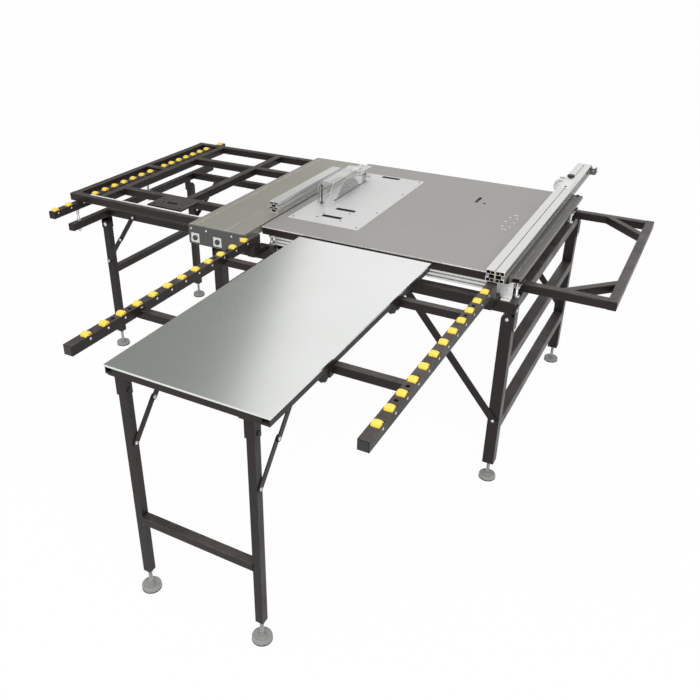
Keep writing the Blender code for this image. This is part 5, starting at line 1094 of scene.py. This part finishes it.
# outrigger on the sliding table
outrigger = {
    "tube": 0.030, "lap": 0.0004, "z": 0.785, "outerX": -0.875, "innerX": -0.750, "gridX": -0.425, "right": -0.2513,
    "front": -0.052, "back": 0.851, "beamYs": (0.116, 0.616), "bridgeY": 0.411,
    "barX": -0.8125, "barLow": 0.761, "barHigh": 0.791, "axleZ": 0.785, "bays": ((-0.022, 0.396), (0.426, 0.821)),
    "count": 7, "margin": 0.034,
    "beamHighlight": ((-0.800, -0.2515), (-0.0335, -0.0245), (0.7996, 0.8005)), "beamHighlightEdge": 0.0003,
}
shelf = {
    "x": (-0.525, -0.360), "y": (-0.009, 0.116), "z": (0.7943, 0.8003), "edge": 0.0007, "cutZ": (0.78, 0.82),
    "slotAt": (-0.4425, 0.046), "slotHalf": (0.025, 0.009), "hole": (0.0045, 0.03), "holeLow": 0.785,
    "holes": [(-0.062, -0.036), (0.062, -0.036), (-0.062, 0.030), (0.062, 0.030), (-0.044, 0.0), (0.044, 0.0)],
}


def makeOutrigger(look):
    tube, half, lap, z = look["tube"], look["tube"] / 2, look["lap"], look["z"]
    outer, inner, middle, right = look["outerX"], look["innerX"], look["gridX"], look["right"]
    front, back, bridge, (firstY, lastY) = look["front"], look["back"], look["bridgeY"], look["beamYs"]
    grid = newShape()
    for y in (front + half, back - half):
        tubeInto(grid, (outer - half, y, z), (right, y, z), tube, ends=("cap", "plain"))
    for x in (outer, inner):
        tubeInto(grid, (x, front + tube - lap, z), (x, back - tube + lap, z), tube)
    for y in look["beamYs"]:
        tubeInto(grid, (inner + half - lap, y, z), (right, y, z), tube)
    tubeInto(grid, (outer + half - lap, bridge, z), (inner - half + lap, bridge, z), tube)
    tubeInto(grid, (middle, firstY + half - lap, z), (middle, lastY - half + lap, z), tube)
    tubeInto(grid, (middle, lastY + half - lap, z), (middle, back - tube + lap, z), tube)
    finishPiece("outriggerFrame", grid, darkPaint, "sliding_table", ("outrigger_frame",))

    # painted highlight: a thin white strip along the top of the front beam
    beamHighlight = newShape()
    boxInto(beamHighlight, *look["beamHighlight"], look["beamHighlightEdge"])
    finishPiece("outriggerBeamHighlight", beamHighlight, bracketWhite, "sliding_table")

    rollers, axles = newShape(), newShape()
    barX, axleZ = look["barX"], look["axleZ"]
    for place, (start, end) in zip(("Front", "Rear"), look["bays"]):
        ys = evenly(start + look["margin"], end - look["margin"], look["count"])
        for y in ys:
            rollerAt(rollers, barX, y, axleZ, roller)
            axleEnds(axles, barX, y, axleZ, half, roller)
        bar = pocketBar(barX, start - lap, end + lap, look["barLow"], look["barHigh"], ys, axleZ,
                        ("plain", "plain"), roller)
        finishPiece("outriggerBar" + place, bar, darkPaint, "sliding_table")
    finishPiece("outriggerRollers", rollers, yellowPlastic, "sliding_table", (), roller["smooth"])
    finishPiece("outriggerAxleEnds", axles, zinc, "sliding_table", (), roller["axleSmooth"])


def makeShelf(look):
    (x, y), (acrossX, acrossY) = look["slotAt"], look["slotHalf"]
    cutters = [plainBox((x - acrossX, x + acrossX), (y - acrossY, y + acrossY), look["cutZ"])]
    for across, along in look["holes"]:
        hole = rod(*look["hole"], 12)
        bmesh.ops.translate(hole, vec=(x + across, y + along, look["holeLow"]), verts=hole.verts)
        cutters.append(hole)
    plate = cutOut(plainBox(look["x"], look["y"], look["z"]), cutters)
    roundSharp(plate, look["edge"])
    finishPiece("outriggerShelf", plate, darkPaint, "sliding_table")


# front roller rack
rack = {
    "xs": {"left": 0.008, "right": 0.878}, "front": -0.985, "first": -0.913, "last": -0.130, "count": 12,
    "axleZ": 0.785, "half": 0.015, "edge": 0.0014,
    "capHalf": 0.0125, "capY": (-0.0011, 0.001), "capZ": (0.7635, 0.7885),
}


def makeRack(look):
    dressNode("roller_rack", "rollerRack", darkPaint, look["edge"])
    axles, caps = newShape(), newShape()
    for side, x in look["xs"].items():
        for index, y in enumerate(evenly(look["first"], look["last"], look["count"])):
            node, name = "roller_%s_%02d" % (side, index + 1), "rackRoller%s%02d" % (side.title(), index + 1)
            shape = newShape()
            rollerAt(shape, x, y, look["axleZ"], roller)
            finishPiece(name, shape, yellowPlastic, node + "_body", (node,), roller["smooth"])
            axleEnds(axles, x, y, look["axleZ"], look["half"], roller)
        boxInto(caps, (x - look["capHalf"], x + look["capHalf"]), [look["front"] + step for step in look["capY"]],
                look["capZ"])
    finishPiece("rackAxleEnds", axles, zinc, "bench", (), roller["axleSmooth"])
    finishPiece("rackEndCaps", caps, blackPlastic, "bench")


# roller rail on threaded rods, and the stand below it
rail = {
    "x": -0.875, "front": -0.177, "back": 1.013, "low": 0.7307, "high": 0.7607, "count": 17, "inset": 0.022,
    "axleZ": 0.7547, "rodYs": (-0.042, 0.4055, 0.853), "rodLow": 0.634, "rodRadius": 0.005, "rodIn": 0.001,
    "nut": (0.009, 0.007), "nutGap": 0.0003,
}
stand = {
    "tube": 0.030, "lap": 0.0004, "z": 0.665, "barX": -0.875, "barY": (-0.087, 0.898), "beamYs": (0.140, 0.745),
    "beamRight": -0.2223, "legX": -0.895, "pivot": 0.605, "crossbar": 0.385, "legLow": 0.074,
    "bracketLow": 0.588, "plate": 0.004, "gap": 0.0005, "plateEdge": 0.0012, "plateDrop": 0.0005, "cheekLap": 0.001,
    "stayTop": (-0.731, 0.665), "stayFoot": (-0.895, 0.435), "share": 0.494, "link": 0.0035, "linkEdge": 0.0009,
    "pivotPin": 0.008, "stayBolt": 0.0062, "webBolt": (0.004, 0.655, 0.0055),   # in from the beam, up, radius
}


def makeRail(look):
    x, low, high, (nutRadius, nutHeight) = look["x"], look["low"], look["high"], look["nut"]
    rollers, axles = newShape(), newShape()
    ys = evenly(look["front"] + look["inset"], look["back"] - look["inset"], look["count"])
    for y in ys:
        rollerAt(rollers, x, y, look["axleZ"], roller)
        axleEnds(axles, x, y, look["axleZ"], (high - low) / 2, roller)
    bar = pocketBar(x, look["front"], look["back"], low, high, ys, look["axleZ"], ("cap", "cap"), roller)
    finishPiece("railBar", bar, darkPaint, "bench", ("outrigger_rail",))
    finishPiece("railRollers", rollers, yellowPlastic, "bench", (), roller["smooth"])
    finishPiece("railAxleEnds", axles, zinc, "bench", (), roller["axleSmooth"])
    rods = newShape()
    standLow, standHigh = stand["z"] - stand["tube"] / 2, stand["z"] + stand["tube"] / 2
    below = nutHeight + look["nutGap"]
    for y in look["rodYs"]:
        addInto(rods, turned(threaded(look["rodRadius"], look["rodLow"], low + look["rodIn"]), 14),
                standAt((x, y, 0.0), "+z"))
        for z in (standHigh + look["nutGap"], standLow - below, low - below):
            addInto(rods, hexNut(nutRadius, nutHeight), standAt((x, y, z), "+z"))
    finishPiece("railRods", rods, zinc, "bench")


def knuckleOf(look):
    # the joint of a two-link stay, part of the way down from its upper bolt
    return [top + look["share"] * (foot - top) for top, foot in zip(look["stayTop"], look["stayFoot"])]


def makeStand(look):
    tube, half, lap, z = look["tube"], look["tube"] / 2, look["lap"], look["z"]
    barX, legX, edge, stayBolt = look["barX"], look["legX"], look["plateEdge"], look["stayBolt"]
    (topX, topZ), (footX, footZ), (knuckleX, knuckleZ) = look["stayTop"], look["stayFoot"], knuckleOf(look)
    near, far = half + look["gap"], half + look["gap"] + look["plate"]   # a bracket plate's faces from the leg's middle
    boltIn, boltZ, boltRadius = look["webBolt"]
    tubes, legs = newShape(), newShape()
    tubeInto(tubes, (barX, look["barY"][0], z), (barX, look["barY"][1], z), tube, ends=("cap", "cap"))
    pins = []
    firstY, lastY = look["beamYs"]
    for place, y, inward, facing in (("front", firstY, 1, "-y"), ("rear", lastY, -1, "+y")):
        tubeInto(tubes, (barX + half - lap, y, z), (look["beamRight"], y, z), tube)
        web = (legX - far, legX - near)
        cheek = sorted((y + inward * near, y + inward * far))
        webY = sorted((y - inward * half, y + inward * far))
        boxInto(tubes, web, webY, (look["bracketLow"], z), edge)
        boxInto(tubes, (web[0], barX), webY, (z - half, z - look["plateDrop"]), edge)
        boxInto(tubes, (web[1], legX + half), cheek, (look["bracketLow"], z - half + look["cheekLap"]), edge)
        face = y - inward * half
        outer, last = [face - inward * links * (look["gap"] + look["link"]) for links in (1, 2)]
        pins.append(("flush", (legX, face, look["pivot"]), facing, look["pivotPin"]))
        pins.append(("dome", (topX, outer, topZ), facing, stayBolt))
        pins.append(("dome", (web[0], y + inward * boltIn, boltZ), "-x", boltRadius))
        legInto(legs, legX, y, look["legLow"], look["pivot"], tube, "y")
        name = place.title()
        boltsPiece("standStayFoot" + name, "stand_leg_pair", [("dome", (footX, last, footZ), facing, stayBolt)])
        boltsPiece("standStayKnuckle" + name, "stay_stand_%s_lower" % place,
                   [("dome", (knuckleX, last, knuckleZ), facing, stayBolt)])
        for part in ("upper", "lower"):
            dressNode("stand_stay_%s_%s" % (place, part), "standStay" + name + part.title(), darkPaint,
                      look["linkEdge"])
    cross = look["crossbar"]
    tubeInto(legs, (legX, firstY + half - lap, cross), (legX, lastY - half + lap, cross), tube)
    finishPiece("standFrame", tubes, darkPaint, "bench", ("stand_frame",))
    finishPiece("standLegs", legs, darkPaint, "stand_leg_pair", ("stand_legs",))
    boltsPiece("standBolts", "bench", pins)
    feetPieces("stand", "stand_leg_pair", [(legX, y) for y in look["beamYs"]], feet)


# fence rail and rip fence
fenceRail = {
    "x": (0.052, 0.880), "front": -0.004, "back": 0.026, "low": 0.7404, "high": 0.7704,
    "slots": (0.0215, 0.0085), "topGroove": (0.012, 0.010), "grooveDeep": 0.003,   # in from the front and the back
    "footLow": 0.7133, "footPlate": 0.006, "leftFoot": (0.052, 0.082), "leftLap": 0.001, "leftEdge": 0.001,
    "rightFoot": (0.897, 0.927), "endPlate": (0.863, 0.927), "rightEdge": 0.0012,
    "boltXs": (0.060, 0.075, 0.904, 0.919), "boltIn": 0.009, "boltRadius": 0.0034, "plateBolt": (0.910, 0.742, 0.0042),
}


def makeFenceRail(look):
    front, back, low, high = look["front"], look["back"], look["low"], look["high"]
    fromFront, fromBack = look["topGroove"]
    outline = [(front, low), (back, low), (back, high),
               *notch(back - fromBack, front + fromFront, high, look["grooveDeep"]), (front, high)]
    for level in look["slots"]:
        outline += reversed(slotPoints(front, 1, low + level, railSlot))
    bar = extruded(outline, "x", *look["x"], bars["edge"])
    finishPiece("frontFenceRail", bar, railAluminium, "bench", ("front_fence_rail",))
    upright = (back - look["footPlate"], back)
    footZ = (look["footLow"], look["footLow"] + look["footPlate"])
    hanger = newShape()
    boxInto(hanger, look["leftFoot"], upright, (look["footLow"], low + look["leftLap"]), look["leftEdge"])
    boxInto(hanger, look["leftFoot"], (front, back), footZ, look["leftEdge"])
    finishPiece("railBracketLeft", hanger, darkPaint, "bench")
    corner = newShape()
    boxInto(corner, look["endPlate"], upright, (look["footLow"], high), look["rightEdge"])
    boxInto(corner, look["rightFoot"], (front, back), footZ, look["rightEdge"])
    finishPiece("railBracketRight", corner, bracketWhite, "bench")
    bolts = [("dome", (x, front + look["boltIn"], footZ[1]), "+z", look["boltRadius"]) for x in look["boltXs"]]
    plateX, plateZ, plateRadius = look["plateBolt"]
    bolts.append(("dome", (plateX, upright[0], plateZ), "-y", plateRadius))
    boltsPiece("railBracketBolts", "bench", bolts)


ripFence = {
    "x": 0.888, "width": 0.060, "height": 0.040, "low": 0.8003, "front": -0.072, "back": 1.238,
    "slots": (0.020,), "lines": (0.0,),
    "cells": [[((0.0158, 0.0272), (0.0275, 0.0372)), ((0.0028, 0.0140), (0.0275, 0.0360))],
              [((0.0024, 0.0195), (0.0132, 0.0255))],
              [((0.0158, 0.0272), (0.0030, 0.0122)), ((0.0028, 0.0140), (0.0030, 0.0112))]],
    "gap": 0.0001, "edge": 0.002, "boltRadius": 0.0050, "carriageBoltZs": (0.755, 0.785),
    "carriageX": (0.851, 0.881), "carriageY": (-0.021, -0.0045), "carriageLow": 0.7404,
    "hookX": (0.863, 0.913), "hookY": (0.9125, 0.9325), "hookLow": 0.76, "hookBoltZ": 0.782, "hookBoltOut": 0.014,
}
fenceWheel = {
    "at": (0.8275, 1.088, 0.776), "radius": 0.030, "half": 0.008, "tyre": 0.002,
    "face": [(0.0053, 0.0), (0.0105, 0.0), (0.0115, 0.001), (0.0120, 0.004), (0.0215, 0.004), (0.0225, 0.001),
             (0.0235, 0.0)],
    "axle": [(0.0, -0.0095), (0.0038, -0.0095), (0.0047, -0.0085), (0.0047, 0.0095), (0.0, 0.0095)],
    "nut": (0.0080, 0.005), "armLeft": 0.010, "armRight": 0.8579, "armY": (1.0965, 1.1025), "armZ": (-0.010, 0.036),
    "armEdge": 0.0015,
}
fenceKnob = {
    "at": (0.880, 0.992), "steps": 24, "smooth": 40.0,
    "body": [(0.0, 0.0), (0.005, 0.0), (0.005, 0.0052), (0.0120, 0.0054), (0.0138, 0.0068), (0.0140, 0.0138),
             (0.0120, 0.0158), (0.0, 0.0162)],
    "grips": 6, "gripRing": 0.0118, "gripFrom": 0.0060, "gripSteps": 10,
    "grip": [(0.0, 0.0), (0.0028, 0.0), (0.0032, 0.002), (0.0032, 0.007), (0.0, 0.009)],
    "plate": ((0.869, 0.906), (0.857, 0.984)), "plateZ": (-0.0005, 0.0022), "plateEdge": 0.0008,
    "screw": (0.8875, 0.866), "screwRadius": 0.0055,
}
fenceClamp = {
    "x": (0.9182, 0.944), "y": (1.193, 1.238), "z": (-0.011, -0.003), "prong": 0.006, "prongY": (1.200, 1.226),
    "prongTop": 0.016, "pinRadius": 0.0035, "pinIn": 0.0005, "pinUp": 0.008, "edge": 0.0015,
}


def makeRipFence(look):
    low = look["low"]
    outline = slotted(look["width"], look["height"], look["slots"], look["lines"])
    bar = extrusionBar(outline, bothSides(look["cells"]), look["x"], low, look["front"], look["back"], True)
    finishBar("ripFence", bar, "fence", "rip_fence")
    carriage = newShape()
    for part in ("carriage", "hook"):
        boxInto(carriage, look[part + "X"], look[part + "Y"], (look[part + "Low"], low - look["gap"]), look["edge"], 3)
    finishPiece("fenceCarriage", carriage, blackPlastic, "fence")
    carriageX, hookX = sum(look["carriageX"]) / 2, sum(look["hookX"]) / 2
    spots = [(carriageX, look["carriageY"][0], z, "-y") for z in look["carriageBoltZs"]]
    spots += [(hookX + side * look["hookBoltOut"], look["hookY"][1], look["hookBoltZ"], "+y") for side in (-1, 1)]
    boltsPiece("fenceBolts", "fence", [("hex", (x, y, z), facing, look["boltRadius"]) for x, y, z, facing in spots])


def makeFenceWheel(look):
    x, y, z = look["at"]
    arm = newShape()
    boxInto(arm, (x - look["armLeft"], look["armRight"]), look["armY"], [z + step for step in look["armZ"]],
            look["armEdge"], 3)
    finishPiece("wheelBracket", arm, fenceAluminium, "fence")
    axle = newShape()
    addInto(axle, turned(look["axle"], 20), standAt((x, y, z), "+y"))
    addInto(axle, hexNut(*look["nut"]), standAt((x, look["armY"][1], z), "+y"))
    finishPiece("wheelAxle", axle, zinc, "fence")
    profile = look["face"] + [(look["radius"] - look["tyre"], 0.0), (look["radius"], look["tyre"])]
    wheel = newShape()
    addInto(wheel, ring(look["half"], profile, 48), standAt((x, y, z), "+y"))
    finishPiece("fenceWheel", wheel, whiteNylon, "wheel", ("fence_wheel",))


def knobInto(piece, place, look):
    # a turned knob with round grips set about it
    addInto(piece, turned(look["body"], look["steps"]), place)
    for across, up in aroundRing(look["grips"], look["gripRing"], look["gripRing"]):
        addInto(piece, turned(look["grip"], look["gripSteps"]),
                place @ Matrix.Translation((across, up, look["gripFrom"])))


def makeFenceKnob(look):
    top = ripFence["low"] + ripFence["height"]
    plateZ = [top + step for step in look["plateZ"]]
    cover = newShape()
    boxInto(cover, *look["plate"], plateZ, look["plateEdge"])
    finishPiece("knobPlate", cover, whiteNylon, "fence")
    screw = ("dome", (*look["screw"], plateZ[1]), "+z", look["screwRadius"])
    boltsPiece("knobPlateScrew", "fence", [screw], blackPlastic)
    knob = newShape()
    knobInto(knob, standAt((*look["at"], top), "+z"), look)
    finishPiece("fenceKnob", knob, blackPlastic, "fence", (), look["smooth"])


def makeFenceClamp(look):
    level = ripFence["low"] + ripFence["height"] / 2
    low, high = [level + step for step in look["z"]]
    left, right = look["x"]
    clamp = newShape()
    boxInto(clamp, look["x"], look["y"], (low, high), look["edge"])
    for prong in ((left, left + look["prong"]), (right - look["prong"], right)):
        boxInto(clamp, prong, look["prongY"], (low, level + look["prongTop"]), look["edge"])
    pin = rod(look["pinRadius"], right - left - 2 * look["pinIn"], 16)
    addInto(clamp, pin, standAt((left + look["pinIn"], sum(look["prongY"]) / 2, level + look["pinUp"]), "+x"))
    finishPiece("fenceClamp", clamp, castGrey, "fence")


# extension table
extension = {
    "topEdge": 0.0006, "frameEdge": 0.0010, "legXs": {"left": 0.195, "right": 0.590}, "y": -0.985, "tube": 0.025,
    "lap": 0.0004, "pivot": 0.7152, "low": 0.074, "crossbar": 0.277, "crossHigh": 0.030,
    "stayTop": (-0.812, 0.7452), "stayFoot": (-0.985, 0.5452), "share": 0.499, "gap": 0.0005, "link": 0.0035,
    "linkEdge": 0.0009, "ear": 0.004, "bracket": 0.0155,
    "topBolt": 0.0060, "footBolt": 0.0055, "knuckleBolt": 0.0058, "pivotBolt": 0.0062,
}
clampKnob = {
    "x": 0.6515, "ys": (-0.3180, -0.7575), "z": 0.7592, "steps": 24, "smooth": 40.0,
    "body": [(0.0, -0.0006), (0.0125, -0.0006), (0.0146, 0.0014), (0.0146, 0.0116), (0.0125, 0.0136),
             (0.0060, 0.0142), (0.0060, 0.020), (0.0, 0.020)],
    "grips": 8, "gripRing": 0.0138, "gripFrom": 0.0005, "gripSteps": 8,
    "grip": [(0.0, 0.0), (0.0022, 0.0), (0.0026, 0.001), (0.0026, 0.011), (0.0, 0.012)],
}


def makeExtension(look):
    dressNode("extension_top", "extensionTop", stainless, look["topEdge"])
    dressNode("extension_frame", "extensionFrame", darkPaint, look["frameEdge"])
    tube, half, lap, y = look["tube"], look["tube"] / 2, look["lap"], look["y"]
    legs = newShape()
    legBolts, frameBolts = [], []
    for side, x in look["legXs"].items():
        legInto(legs, x, y, look["low"], look["pivot"], tube, "x")
        lower, upper = [x + half + links * (look["gap"] + look["link"]) for links in (1, 2)]
        ear = upper + look["gap"] + look["ear"]
        legBolts.append(("dome", (lower, *look["stayFoot"]), "+x", look["footBolt"]))
        frameBolts.append(("dome", (ear, *look["stayTop"]), "+x", look["topBolt"]))
        frameBolts += [("dome", (x + out * look["bracket"], y, look["pivot"]), facing, look["pivotBolt"])
                       for out, facing in ((1, "+x"), (-1, "-x"))]
        boltsPiece("extensionKnuckle" + side.title(), "stay_ext_%s_upper" % side,
                   [("dome", (upper, *knuckleOf(look)), "+x", look["knuckleBolt"])])
        for part in ("upper", "lower"):
            dressNode("extension_stay_%s_%s" % (side, part), "extensionStay" + side.title() + part.title(), darkPaint,
                      look["linkEdge"])
    knobs = newShape()
    for knobY in clampKnob["ys"]:
        knobInto(knobs, standAt((clampKnob["x"], knobY, clampKnob["z"]), "+y"), clampKnob)
    finishPiece("extensionClampKnobs", knobs, blackPlastic, "extension", (), clampKnob["smooth"])
    left, right = look["legXs"].values()
    cross = look["crossbar"]
    tubeInto(legs, (left + half - lap, y, cross), (right - half + lap, y, cross), look["crossHigh"], tube)
    finishPiece("extensionLegs", legs, darkPaint, "extension_leg_pair", ("extension_legs",))
    boltsPiece("extensionLegBolts", "extension_leg_pair", legBolts)
    boltsPiece("extensionFrameBolts", "extension", frameBolts)
    feetPieces("extension", "extension_leg_pair", [(left, y), (right, y)], feet)


# right support frame
support = {
    "tube": 0.030, "lap": 0.0004, "z": 0.735, "left": 0.907, "right": 1.237, "armYs": (0.090, 0.872), "reach": 0.155,
    "braceWidth": 0.026, "braceHeight": 0.0294, "braceSoft": 0.0024, "seat": (0.7133, 0.721), "seatRight": 0.947,
    "boltX": 0.927, "boltRadius": 0.0068,
}


def makeSupport(look):
    tube, half, z = look["tube"], look["tube"] / 2, look["z"]
    left, right, corner = look["left"], look["right"], look["right"] - half
    loop = newShape()
    bolts = []
    for y, inward in zip(look["armYs"], (1, -1)):
        tubeInto(loop, (left, y, z), (right - tube + look["lap"], y, z), tube, ends=("cap", "plain"))
        tubeInto(loop, (corner - look["reach"], y, z), (corner, y + inward * look["reach"], z), look["braceWidth"],
                 look["braceHeight"], look["braceSoft"])
        boxInto(loop, (left, look["seatRight"]), (y - half, y + half), look["seat"])
        bolts.append(("hex", (look["boltX"], y, z + half), "+z", look["boltRadius"]))
    firstY, lastY = look["armYs"]
    tubeInto(loop, (corner, firstY - half, z), (corner, lastY + half, z), tube, ends=("cap", "cap"))
    finishPiece("supportFrame", loop, darkPaint, "bench", ("support_frame",))
    boltsPiece("supportBolts", "bench", bolts)


makeMainTable(mainTable)
makeSideStrip(sideStrip)
makeBlade(saw)
makeMotor(sawMotor)
makeKnife(knife)
makeGuard(guard)
print("main table and saw made")
makeBase(base)
makeBearings(bearings)
makeJacks(jacks)
makeBenchLegs(base)
print("base and legs made")
makeSlidingTable(slide)
makeCrosscutFence(crosscut)
makeOutrigger(outrigger)
makeShelf(shelf)
print("sliding table and outrigger made")
makeRack(rack)
makeRail(rail)
makeStand(stand)
print("rollers, rail and stand made")
makeFenceRail(fenceRail)
makeRipFence(ripFence)
makeFenceWheel(fenceWheel)
makeFenceKnob(fenceKnob)
makeFenceClamp(fenceClamp)
makeExtension(extension)
makeSupport(support)
print("fence, extension and support frame made")

# floor, light and camera
studio = {
    "floorSize": 60.0, "floorColour": (0.95, 0.95, 0.95), "floorRoughness": 0.9, "floorGlow": 0.97, "worldLight": 0.62,
    "lamps": {"keyLamp": ((1.6, -2.6, 4.2), 3.0, 120.0), "fillLamp": ((-3.6, -1.4, 3.4), 2.6, 30.0)},
    "aim": (0.0, 0.0, 0.6),
    "flagFrom": (0.417, -0.52, 0.80), "flagDistance": 8.0,
    # corners as seen from the sheet: degrees from straight back towards the left, and up
    "flags": {
        "flagLeft": ([(24.0, 3.0), (44.0, 47.0), (100.0, 47.0), (100.0, 3.0)], (0.27, 0.28, 0.255)),
        "flagFront": ([(107.0, 2.0), (118.0, 50.0), (205.0, 50.0), (205.0, 2.0)], (0.44, 0.45, 0.43)),
        "flagRight": ([(228.0, 2.0), (238.0, 50.0), (318.0, 50.0), (318.0, 2.0)], (0.44, 0.45, 0.43)),
        "flagOver": ([(20.0, 62.0), (110.0, 62.0), (200.0, 62.0), (290.0, 62.0)], (0.56, 0.57, 0.55)),
    },
}


def seenRays(tree):
    # 1 for rays from the camera, from gloss and through clear plastic
    path = tree.nodes.new("ShaderNodeLightPath")
    seen = mathNode(tree, "ADD", path.outputs["Is Camera Ray"], path.outputs["Is Glossy Ray"], True)
    return mathNode(tree, "ADD", seen, path.outputs["Is Transmission Ray"], True)


def stagePiece(name, shape, material):
    mesh = bpy.data.meshes.new(name)
    shape.to_mesh(mesh)
    shape.free()
    mesh.materials.append(material)
    piece = bpy.data.objects.new(name, mesh)
    bpy.context.scene.collection.objects.link(piece)
    return piece


def makeFloor(look):
    material, tree, shader = startFinish("floorWhite", look["floorColour"], 0.0, look["floorRoughness"],
                                         Specular_IOR_Level=0.0)
    glow = tree.nodes.new("ShaderNodeEmission")
    mix = tree.nodes.new("ShaderNodeMixShader")
    tree.links.new(mathNode(tree, "MULTIPLY", seenRays(tree), look["floorGlow"]), mix.inputs["Fac"])
    tree.links.new(shader.outputs["BSDF"], mix.inputs[1])
    tree.links.new(glow.outputs["Emission"], mix.inputs[2])
    tree.links.new(mix.outputs["Shader"], tree.nodes["Material Output"].inputs["Surface"])
    plane = bmesh.new()
    bmesh.ops.create_grid(plane, x_segments=1, y_segments=1, size=look["floorSize"] / 2)
    stagePiece("floor", plane, material)


def makeLights(look):
    world = bpy.data.worlds.new("studioWhite")
    bpy.context.scene.world = world
    world.use_nodes = True
    tree = world.node_tree
    background = tree.nodes["Background"]
    background.inputs["Color"].default_value = (1.0, 1.0, 1.0, 1.0)
    strength = rangeNode(tree, seenRays(tree), wholeSpan, (look["worldLight"], 1.0))
    tree.links.new(strength, background.inputs["Strength"])
    for name, (place, size, power) in look["lamps"].items():
        lamp = bpy.data.lights.new(name, "AREA")
        lamp.size = size
        lamp.energy = power
        holder = bpy.data.objects.new(name, lamp)
        holder.location = place
        holder.rotation_euler = (Vector(look["aim"]) - Vector(place)).to_track_quat("-Z", "Y").to_euler()
        bpy.context.scene.collection.objects.link(holder)


def makeFlag(name, corners, colour, look):
    # a grey screen out of view, for the shade in the stainless sheet
    screen = bmesh.new()
    points = []
    for turn, rise in [(math.radians(turn), math.radians(rise)) for turn, rise in corners]:
        across, up = look["flagDistance"] * math.cos(rise), look["flagDistance"] * math.sin(rise)
        points.append(screen.verts.new((-across * math.sin(turn), across * math.cos(turn), up)))
    screen.faces.new(points)
    bmesh.ops.translate(screen, vec=Vector(look["flagFrom"]) + benchShift, verts=screen.verts)
    grey = bpy.data.materials.new(name)
    grey.use_nodes = True
    tone = grey.node_tree.nodes.new("ShaderNodeEmission")
    tone.inputs["Color"].default_value = (*colour, 1.0)
    grey.node_tree.links.new(tone.outputs["Emission"], grey.node_tree.nodes["Material Output"].inputs["Surface"])
    flag = stagePiece(name, screen, grey)
    flag.visible_camera = False
    flag.visible_diffuse = False
    flag.visible_shadow = False
    flag.visible_transmission = False


view = {
    "place": (1.4342, -2.2258, 1.7943), "tilt": 61.472, "turn": 28.765, "lens": 39.49, "sensor": 36.0,
    "shift": (0.0528, -0.0247), "farthest": 200.0,
}


def makeCamera(look):
    camera = bpy.data.cameras.new("photoView")
    camera.sensor_width = look["sensor"]
    camera.lens = look["lens"]
    camera.shift_x, camera.shift_y = look["shift"]
    camera.clip_end = look["farthest"]
    holder = bpy.data.objects.new("photoView", camera)
    holder.location = Vector(look["place"]) + benchShift
    holder.rotation_euler = (math.radians(look["tilt"]), 0.0, math.radians(look["turn"]))
    bpy.context.scene.collection.objects.link(holder)
    bpy.context.scene.camera = holder


makeFloor(studio)
makeLights(studio)
for flagName, (flagCorners, flagColour) in studio["flags"].items():
    makeFlag(flagName, flagCorners, flagColour, studio)
makeCamera(view)
bpy.context.scene.view_settings.view_transform = "Standard"
print("studio ready")
